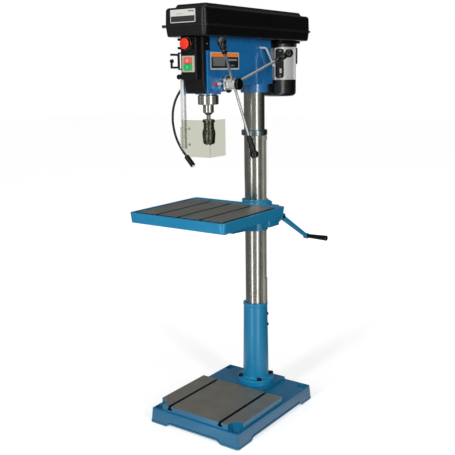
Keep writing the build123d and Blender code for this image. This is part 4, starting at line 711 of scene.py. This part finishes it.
def modelBolt(name, look):  # a head with a chamfer and a sunk middle
    piece = startRound(name, look["radius"], look["height"], look["sides"])
    editPiece(piece)
    pickTop(piece, look["height"])
    bevelPicked(look["chamfer"], look["steps"])
    pickTop(piece, look["height"])
    bpy.ops.mesh.inset(thickness=look["inset"], depth=0)
    pushPicked((0, 0, -look["deep"]))
    leaveEdit(look["smooth"])
    return piece


def around(axis, radius, degrees, height):  # a spot on an upright cylinder, degrees from the front
    turn = math.radians(degrees)
    out = (math.sin(turn), -math.cos(turn), 0)
    return (axis[0] + out[0] * radius, axis[1] + out[1] * radius, height), out


def onCase(turn):  # a spot on the flat end of the spring case
    x, y, z, radius = -86, -103, 1465, 31
    return (x, y + radius * math.cos(turn), z + radius * math.sin(turn)), leftward


columnAxis, motorAxis = (0, 187), (0, 390)
screwPlaces = {  # kind, body, finish and spots in millimetres
    "post_screw": ("hex", "frame", "bolt", [around(columnAxis, 56.2, 110, 412),
                                            around(columnAxis, 56.9, 110, 361)]),
    "collar_grub": ("grub", "frame", "bolt", [((51.0, 187, 1250), rightward)]),
    "crank_nut": ("hex", "crank", "bolt", [((129, 226, 874), rightward)]),
    "shield_screw": ("wide", "shield", "rack", [((-35.5, -231, z), frontward)
                                                for z in (1292, 1229)]),
    "cover_screw": ("pan", "frame", "screw", [((x, -216.7, z), facing)
                                              for x, facing in ((50, rightward), (-50, leftward))
                                              for z in (1622, 1500)]),
    "case_screw": ("pan", "frame", "screw", [onCase(turn) for turn in (0.5, 2.594, 4.689)]),
    "box_screw": ("pan", "motor", "screw", [
        around(motorAxis, 86, degrees, z)
        for degrees, z in ((36, 1494), (36, 1603), (135, 1553), (135, 1611))]),
}


def makeScrews(places):
    masters = {"pan": modelPanScrew(panScrew), "hex": modelBolt("hexHead", hexHead),
               "grub": modelBolt("grubScrew", grubScrew), "wide": modelPanScrew(shieldScrew)}
    for name, (kind, body, finish, spots) in places.items():
        placeCopies(masters[kind], name, spots, body, finish)
    for master in masters.values():
        bpy.data.objects.remove(master)


makeScrews(screwPlaces)
print("screws placed")


# Label plates: plain printed sheets with rounded corners

sidePlate = {
    "place": (57.0, -108.5, 1556.0), "facing": rightward,
    "width": 0.195, "tall": 0.068, "thick": 0.0009, "corner": 0.004,
    "steps": 5, "edge": 0.35, "smooth": 25,  # the edge is a share of the thickness
}
frontPlate = dict(sidePlate, place=(-5.0, -294.0, 1723.5), facing=frontward,
                  width=0.122, tall=0.049, corner=0.003)
motorTag = dict(sidePlate, place=(53.0, 322.3, 1516.0), facing=(0.588, -0.809, 0),
                width=0.009, tall=0.020, thick=0.0006, corner=0.001)


def makePlate(name, look, body, finish):
    thick = look["thick"]
    piece = startBlock(name, look["width"], look["tall"], thick)
    editPiece(piece)
    pickEdges(piece, lambda one, two: abs(one.z - two.z) > thick / 2)
    bevelPicked(look["corner"], look["steps"])
    pickTop(piece, thick)
    bevelPicked(thick * look["edge"], 1)
    leaveEdit(look["smooth"])
    placePiece(piece, look["place"], look["facing"])
    settle(piece, body, finish)


makePlate("side_plate", sidePlate, "frame", "sidePlate")
makePlate("front_plate", frontPlate, "lid", "frontPlate")
makePlate("motor_tag", motorTag, "motor", "tag")
print("label plates placed")


# Marks on the keys, the ring round the emergency stop and the dial's lines

startMark = {"place": (0, -281, 1533), "size": (0.0016, 0.0095, 0.0004), "round": 0.00012}
stopMark = {
    "place": (0, -281, 1558), "sides": 48,
    "radius": 0.0050, "height": 0.0004, "wall": 0.0013, "round": 0.0001,
}
stopRing = dict(stopMark, place=(0, -283, 1621), radius=0.0243, height=0.0014, wall=0.0021,
                round=0.0005)
dialMarks = {
    "axis": (65, -103, 1465), "radius": 34.5, "end": 5.5, "round": 0.00008,
    "dial_short": (60, (0.0004, 0.0040, 0.0003)), "dial_long": (12, (0.0005, 0.0070, 0.0003)),
}


def makeStartMark(name, look):
    bar = startBlock(name, *look["size"])
    useModifier(bar, "BEVEL", width=look["round"], segments=2)
    placePiece(bar, look["place"], frontward)
    settle(bar, "start_key", "mark")


def makeHoop(name, look, body, finish):  # flat ring that looks to the front
    hoop = startRound(name, look["radius"], look["height"], look["sides"], "NOTHING")
    useModifier(hoop, "SOLIDIFY", thickness=look["wall"], offset=-1.0)
    useModifier(hoop, "BEVEL", width=look["round"], segments=2)
    editPiece(hoop)
    faceOutwards()
    leaveEdit()
    placePiece(hoop, look["place"], frontward)
    settle(hoop, body, finish)


def makeDialMarks(name, look):
    count, (width, tall, thick) = look[name]
    x, y, z = look["axis"]
    mark = startBlock(name, width, tall, thick)
    useModifier(mark, "BEVEL", width=look["round"], segments=1)
    mark.rotation_euler = (0, 0, math.pi / 2)
    bpy.ops.object.transform_apply()
    mark.location = metres((x + look["end"], y, z + look["radius"])) - Vector((tall / 2, 0, 0))
    bpy.ops.object.transform_apply()
    spinCopies(mark, count, look["axis"], rightward)
    settle(mark, "dial", "mark")


makeStartMark("start_mark", startMark)
makeHoop("stop_mark", stopMark, "stop_key", "mark")
makeHoop("stop_ring", stopRing, "frame", "brass")
makeDialMarks("dial_short", dialMarks)
makeDialMarks("dial_long", dialMarks)
print("marks placed")


# Chuck: grip ribs round the sleeve and the teeth for its key

chuckRibs = {
    "centre": (0, -149, 1271.5), "radius": 25.2, "lean": 4.7, "count": 48,
    "size": (0.0011, 0.0140, 0.0009), "edge": 0.3, "smooth": 20,  # the edge is a share of the width
}
chuckTeeth = dict(chuckRibs, centre=(0, -149, 1233.5), radius=22.2, lean=-15.2, count=30,
                  size=(0.0022, 0.0110, 0.0011))


def makeRibs(name, look):
    width, tall, thick = look["size"]
    rib = startBlock(name, width, tall, thick)
    editPiece(rib)
    pickTop(rib, thick)
    bevelPicked(width * look["edge"], 1)
    leaveEdit(look["smooth"])
    x, y, z = look["centre"]
    lean = math.radians(look["lean"])
    placePiece(rib, (x, y - look["radius"], z), (0, -math.cos(lean), math.sin(lean)))
    spinCopies(rib, look["count"], look["centre"], upward)
    settle(rib, "sleeve", "jaw")


makeRibs("chuck_ribs", chuckRibs)
makeRibs("chuck_teeth", chuckTeeth)
print("chuck ribbed")


# Lamp: the neck's flexible hose and the lens

neckHose = {
    "radius": 0.0046, "sides": 10, "swell": 1.15, "pitch": 0.0044, "merge": 0.0001,
    "plane": -158, "resolution": 24, "smooth": 70,
    "path": [(-56, 1489.5), (-66, 1486.5), (-110, 1462.5), (-148, 1425.6), (-172.5, 1380),
             (-181.5, 1330), (-177.5, 1286), (-164.7, 1245), (-142.7, 1206.5), (-113.0, 1171.0)],
}
lampLens = {
    "end": (-77.8, -158, 1132.8), "run": (36.0, 0, -39.0), "inset": 2.4,
    "radius": 0.0087, "height": 0.0008, "sides": 32, "smooth": 50,
    "dome": [(0.0022, 0.0007), (0.0030, 0.0004)],  # inwards and up
}


def makeHosePath(look):
    bpy.ops.curve.primitive_bezier_curve_add()
    path = bpy.context.object
    points = path.data.splines[0].bezier_points
    points.add(len(look["path"]) - len(points))
    for point, (x, z) in zip(points, look["path"]):
        point.co = metres((x, look["plane"], z))
        point.handle_left_type = point.handle_right_type = "AUTO"
    path.data.resolution_u = look["resolution"]
    return path


def makeNeckHose(look):
    radius, pitch, swell = look["radius"], look["pitch"], look["swell"]
    path = makeHosePath(look)
    hose = startRound("neck_hose", radius, pitch, look["sides"], "NOTHING")
    editPiece(hose)
    bpy.ops.mesh.select_all(action="SELECT")
    bpy.ops.mesh.subdivide(number_cuts=1, smoothness=0.0)
    pickNothing("VERT")
    mesh = bmesh.from_edit_mesh(hose.data)
    for vert in mesh.verts:
        away = math.hypot(vert.co.x, vert.co.y)
        vert.co.x *= radius / away  # back on the circle
        vert.co.y *= radius / away
        vert.select_set(abs(vert.co.z - pitch / 2) < pitch / 8)  # half way up
    bmesh.update_edit_mesh(hose.data)
    bpy.ops.transform.resize(value=(swell, swell, 1), center_override=(0, 0, 0))
    leaveEdit()
    rings = int(path.data.splines[0].calc_length() / pitch)
    useModifier(hose, "ARRAY", count=rings, use_relative_offset=False, use_constant_offset=True,
                constant_offset_displace=(0, 0, pitch), use_merge_vertices=True,
                merge_threshold=look["merge"])
    useModifier(hose, "CURVE", object=path, deform_axis="POS_Z")
    editPiece(hose)
    bpy.ops.mesh.select_all(action="SELECT")
    bpy.ops.mesh.fill_holes(sides=0)
    faceOutwards()
    leaveEdit(look["smooth"])
    bpy.data.objects.remove(path)
    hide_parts("lamp_arm")
    settle(hose, "frame", "neck")


def makeLampLens(look):
    lens = startRound("lamp_lens", look["radius"], look["height"], look["sides"])
    editPiece(lens)
    pickTop(lens, look["height"])
    for step, rise in look["dome"]:
        bpy.ops.mesh.inset(thickness=step, depth=rise)
    leaveEdit(look["smooth"])
    run = Vector(look["run"]).normalized()
    placePiece(lens, Vector(look["end"]) - run * look["inset"], run)
    settle(lens, "frame", "lens")


makeNeckHose(neckHose)
makeLampLens(lampLens)
print("lamp fitted")


# Base: bead along the lower edge, over the feet and the gaps, in lighter paint as a painted
# highlight, with a dark strip above it as a painted shadow line

baseBead = {  # millimetres, but wall, round and merge in metres
    "wall": 0.003, "round": 0.0009, "merge": 0.0001,
    "corner": (223.5, 292.0), "cornerSteps": 6, "front": 306.0,
    "gapHigh": 12.0, "gapX": (126.0, 148.2), "gapY": ((-206.8, -192.0), (198.0, 212.8)),
    "base_bead": (0.0, 7.0, "bead"), "base_shadowLine": (7.0, 2.8, "shadowLine"),  # start, height, finish
}


def makeBaseStrip(name, look):
    start, tall, finish = look[name]
    cornerX, cornerY = look["corner"]
    high, (topX, footX) = look["gapHigh"], look["gapX"]
    (frontFoot, frontTop), (backTop, backFoot) = look["gapY"]
    middle = metres((topX / 2, -look["front"], high + start + tall / 2))
    bpy.ops.object.select_all(action="DESELECT")
    bpy.ops.mesh.primitive_plane_add(size=0.001, location=middle, rotation=(math.pi / 2, 0, 0))
    bpy.context.object.scale = (topX, tall, 1)
    strip = namePiece(name)
    editPiece(strip)
    pickEdges(strip, lambda one, two: min(one.x, two.x) > topX / 1000 - nearness["edge"])

    def run(*moves):
        for move in moves:
            pushPicked(metres(move))

    def corner(sideX, sideY):
        bpy.ops.mesh.spin(steps=look["cornerSteps"], angle=-math.pi / 2,
                          center=metres((sideX * cornerX, sideY * cornerY, 0)), axis=upward)

    slopeX, footRun = footX - topX, cornerX - footX
    run((slopeX, 0, -high), (footRun, 0, 0))
    corner(1, -1)
    run((0, frontFoot + cornerY, 0), (0, frontTop - frontFoot, high), (0, backTop - frontTop, 0),
        (0, backFoot - backTop, -high), (0, cornerY - backFoot, 0))
    corner(1, 1)
    run((-footRun, 0, 0), (-slopeX, 0, high), (-2 * topX, 0, 0), (-slopeX, 0, -high),
        (-footRun, 0, 0))
    corner(-1, 1)
    run((0, backFoot - cornerY, 0), (0, backTop - backFoot, high), (0, frontTop - backTop, 0),
        (0, frontFoot - frontTop, -high), (0, -cornerY - frontFoot, 0))
    corner(-1, -1)
    run((footRun, 0, 0), (slopeX, 0, high), (topX, 0, 0))
    faceOutwards(look["merge"])
    leaveEdit()
    useModifier(strip, "SOLIDIFY", thickness=look["wall"], offset=-1.0)
    useModifier(strip, "BEVEL", width=look["round"], segments=3)
    leaveEdit()
    settle(strip, "frame", finish)


makeBaseStrip("base_bead", baseBead)
makeBaseStrip("base_shadowLine", baseBead)
print("base bead laid")


# White studio

studio = {
    "fill": 0.25,  # light from all round
    "floorSize": 40.0, "floorColor": (0.5, 0.5, 0.5, 1.0), "floorRough": 0.9, "floorLift": 0.86,
    "nearLift": 0.66, "liftRange": (0.7, 2.6),  # less near the object, which keeps the shadow
    "paper": (0.35, 0.9),  # metres over which the white floor fades out in reflections
    "lamps": {  # azimuth from the front, height, distance, width, tall, power
        "frontStrip": (-1.0, 2.3, 4.2, 0.55, 2.6, 125.0),
        "sideStrip": (65.0, 2.4, 4.2, 0.45, 2.2, 88.0),
        "backScreen": (205.0, 2.2, 4.6, 1.6, 2.4, 50.0),
    },
    "aim": (0.0, 0.0, 1.0),
    "wallRadius": 5.0, "wallHeight": 14.0, "wallSides": 96, "tint": (0.985, 1.0, 0.975),
    "surround": {  # degrees from the front, and how bright the studio is there
        -180: 0.12, -130: 0.12, -90: 0.18, -60: 0.16, -36: 0.22, -8: 0.22, -4: 4.4, 2: 4.4,
        6: 0.30, 56: 0.30, 60: 3.8, 68: 3.8, 72: 0.50, 84: 0.30, 96: 0.16, 125: 0.08,
        134: 0.015, 156: 0.015, 180: 0.12,
    },
    "backGlow": {-176: 0.14, -162: 1.6, -130: 1.6, -116: 0.30, -100: 0.20},  # low down behind
    "glowHeight": 0.35,
}


def makeSurround(name, levels):  # what the studio shows in each direction
    group, _, out = newGroup(name, {}, {"Level": "NodeSocketFloat"})
    place = splitPlace(group, objectPlace(group))
    turn = maths(group, "ARCTAN2", place[0], maths(group, "MULTIPLY", place[1], -1.0))
    share = maths(group, "MULTIPLY_ADD", turn, 0.5 / math.pi, 0.5)
    ramp = addNode(group, "ShaderNodeValToRGB", {0: share})
    stops = ramp.color_ramp.elements
    brightest = max(levels.values())
    for count, degrees in enumerate(sorted(levels)):
        position = degrees / 360 + 0.5
        stop = stops[count] if count < 2 else stops.new(position)  # a new ramp has two stops
        stop.position = position
        grey = levels[degrees] / brightest
        stop.color = (grey, grey, grey, 1.0)
    setInputs(group, out, {"Level": maths(group, "MULTIPLY", ramp.outputs[0], brightest)})
    return group


def wasMirrored(tree, path):  # one for a mirrored ray, also when it then passed the clear sheet
    once = maths(tree, "MINIMUM", path["Glossy Depth"], 1.0)
    return maths(tree, "SUBTRACT", once, path["Is Diffuse Ray"], clamp=True)


def makeWorld(look):
    world = bpy.data.worlds.new("whiteStudio")
    scene.world = world
    world.use_nodes = True
    tree = world.node_tree
    path = addNode(tree, "ShaderNodeLightPath").outputs
    seen = maths(tree, "MAXIMUM", path["Is Camera Ray"], path["Is Glossy Ray"])
    seen = maths(tree, "MAXIMUM", seen, path["Is Transmission Ray"])
    setInputs(tree, tree.nodes["Background"], {
        "Color": white, "Strength": blendValue(tree, seen, look["fill"], 1.0)})


def setStage(piece, name, material):
    piece.name = name
    piece.data.materials.append(material)
    material.cycles.emission_sampling = "NONE"


def makeFloor(look, lowSurround):  # white paper that fades into the studio's own light
    material, tree, shader = newMaterial("studioFloor")
    path = addNode(tree, "ShaderNodeLightPath").outputs
    glossy = wasMirrored(tree, path)
    seen = maths(tree, "MAXIMUM", path["Is Camera Ray"], path["Is Transmission Ray"])
    seen = maths(tree, "SUBTRACT", seen, glossy, clamp=True)
    away = vectorMaths(tree, "LENGTH", objectPlace(tree))["Value"]
    fade = remap(tree, away, look["paper"])
    mirrored = blendValue(tree, fade, look["floorLift"], effect(tree, lowSurround)["Level"])
    plain = remap(tree, away, look["liftRange"], (look["nearLift"], look["floorLift"]))
    lift = maths(tree, "ADD", maths(tree, "MULTIPLY", seen, plain),
                 maths(tree, "MULTIPLY", glossy, mirrored))
    setInputs(tree, shader, {
        "Base Color": blendColor(tree, glossy, look["floorColor"], black),
        "Roughness": look["floorRough"], "Specular IOR Level": 0.0,
        "Emission Color": lift, "Emission Strength": 1.0})
    bpy.ops.mesh.primitive_plane_add(size=look["floorSize"])
    setStage(bpy.context.object, "studioFloor", material)


def makeLamps(look):
    for name, (azimuth, height, distance, width, tall, power) in look["lamps"].items():
        turn = math.radians(azimuth)
        place = Vector((math.sin(turn) * distance, -math.cos(turn) * distance, height))
        aim = (Vector(look["aim"]) - place).to_track_quat("-Z", "Y").to_euler()
        bpy.ops.object.light_add(type="AREA", location=place, rotation=aim)
        lamp = bpy.context.object
        lamp.name = name
        lamp.data.shape = "RECTANGLE"
        lamp.data.size = width
        lamp.data.size_y = tall
        lamp.data.energy = power
        lamp.visible_glossy = lamp.visible_transmission = False  # the walls show the strips


def makeWalls(look, surround, lowSurround):  # screens and strips, out of the camera's sight
    radius, height = look["wallRadius"], look["wallHeight"]
    material, tree, shader = newMaterial("studioWalls")
    glossy = wasMirrored(tree, addNode(tree, "ShaderNodeLightPath").outputs)
    rise = splitPlace(tree, objectPlace(tree))[2]
    low = maths(tree, "LESS_THAN", rise, look["glowHeight"] - height / 2)
    level = blendValue(tree, low, effect(tree, surround)["Level"],
                       effect(tree, lowSurround)["Level"])
    tinted = vectorMaths(tree, "MULTIPLY", look["tint"], level)["Vector"]
    setInputs(tree, shader, {
        "Base Color": black, "Specular IOR Level": 0.0,
        "Emission Color": blendColor(tree, glossy, white, tinted), "Emission Strength": 1.0})
    bpy.ops.mesh.primitive_cylinder_add(vertices=look["wallSides"], radius=radius, depth=height,
                                        end_fill_type="NOTHING", location=(0, 0, height / 2))
    wall = bpy.context.object
    wall.visible_camera = wall.visible_shadow = wall.visible_diffuse = False
    setStage(wall, "studioWalls", material)


surround = makeSurround("surround", studio["surround"])
lowSurround = makeSurround("lowSurround", {**studio["surround"], **studio["backGlow"]})
makeWorld(studio)
makeFloor(studio, lowSurround)
makeLamps(studio)
makeWalls(studio, surround, lowSurround)
print("studio lit")
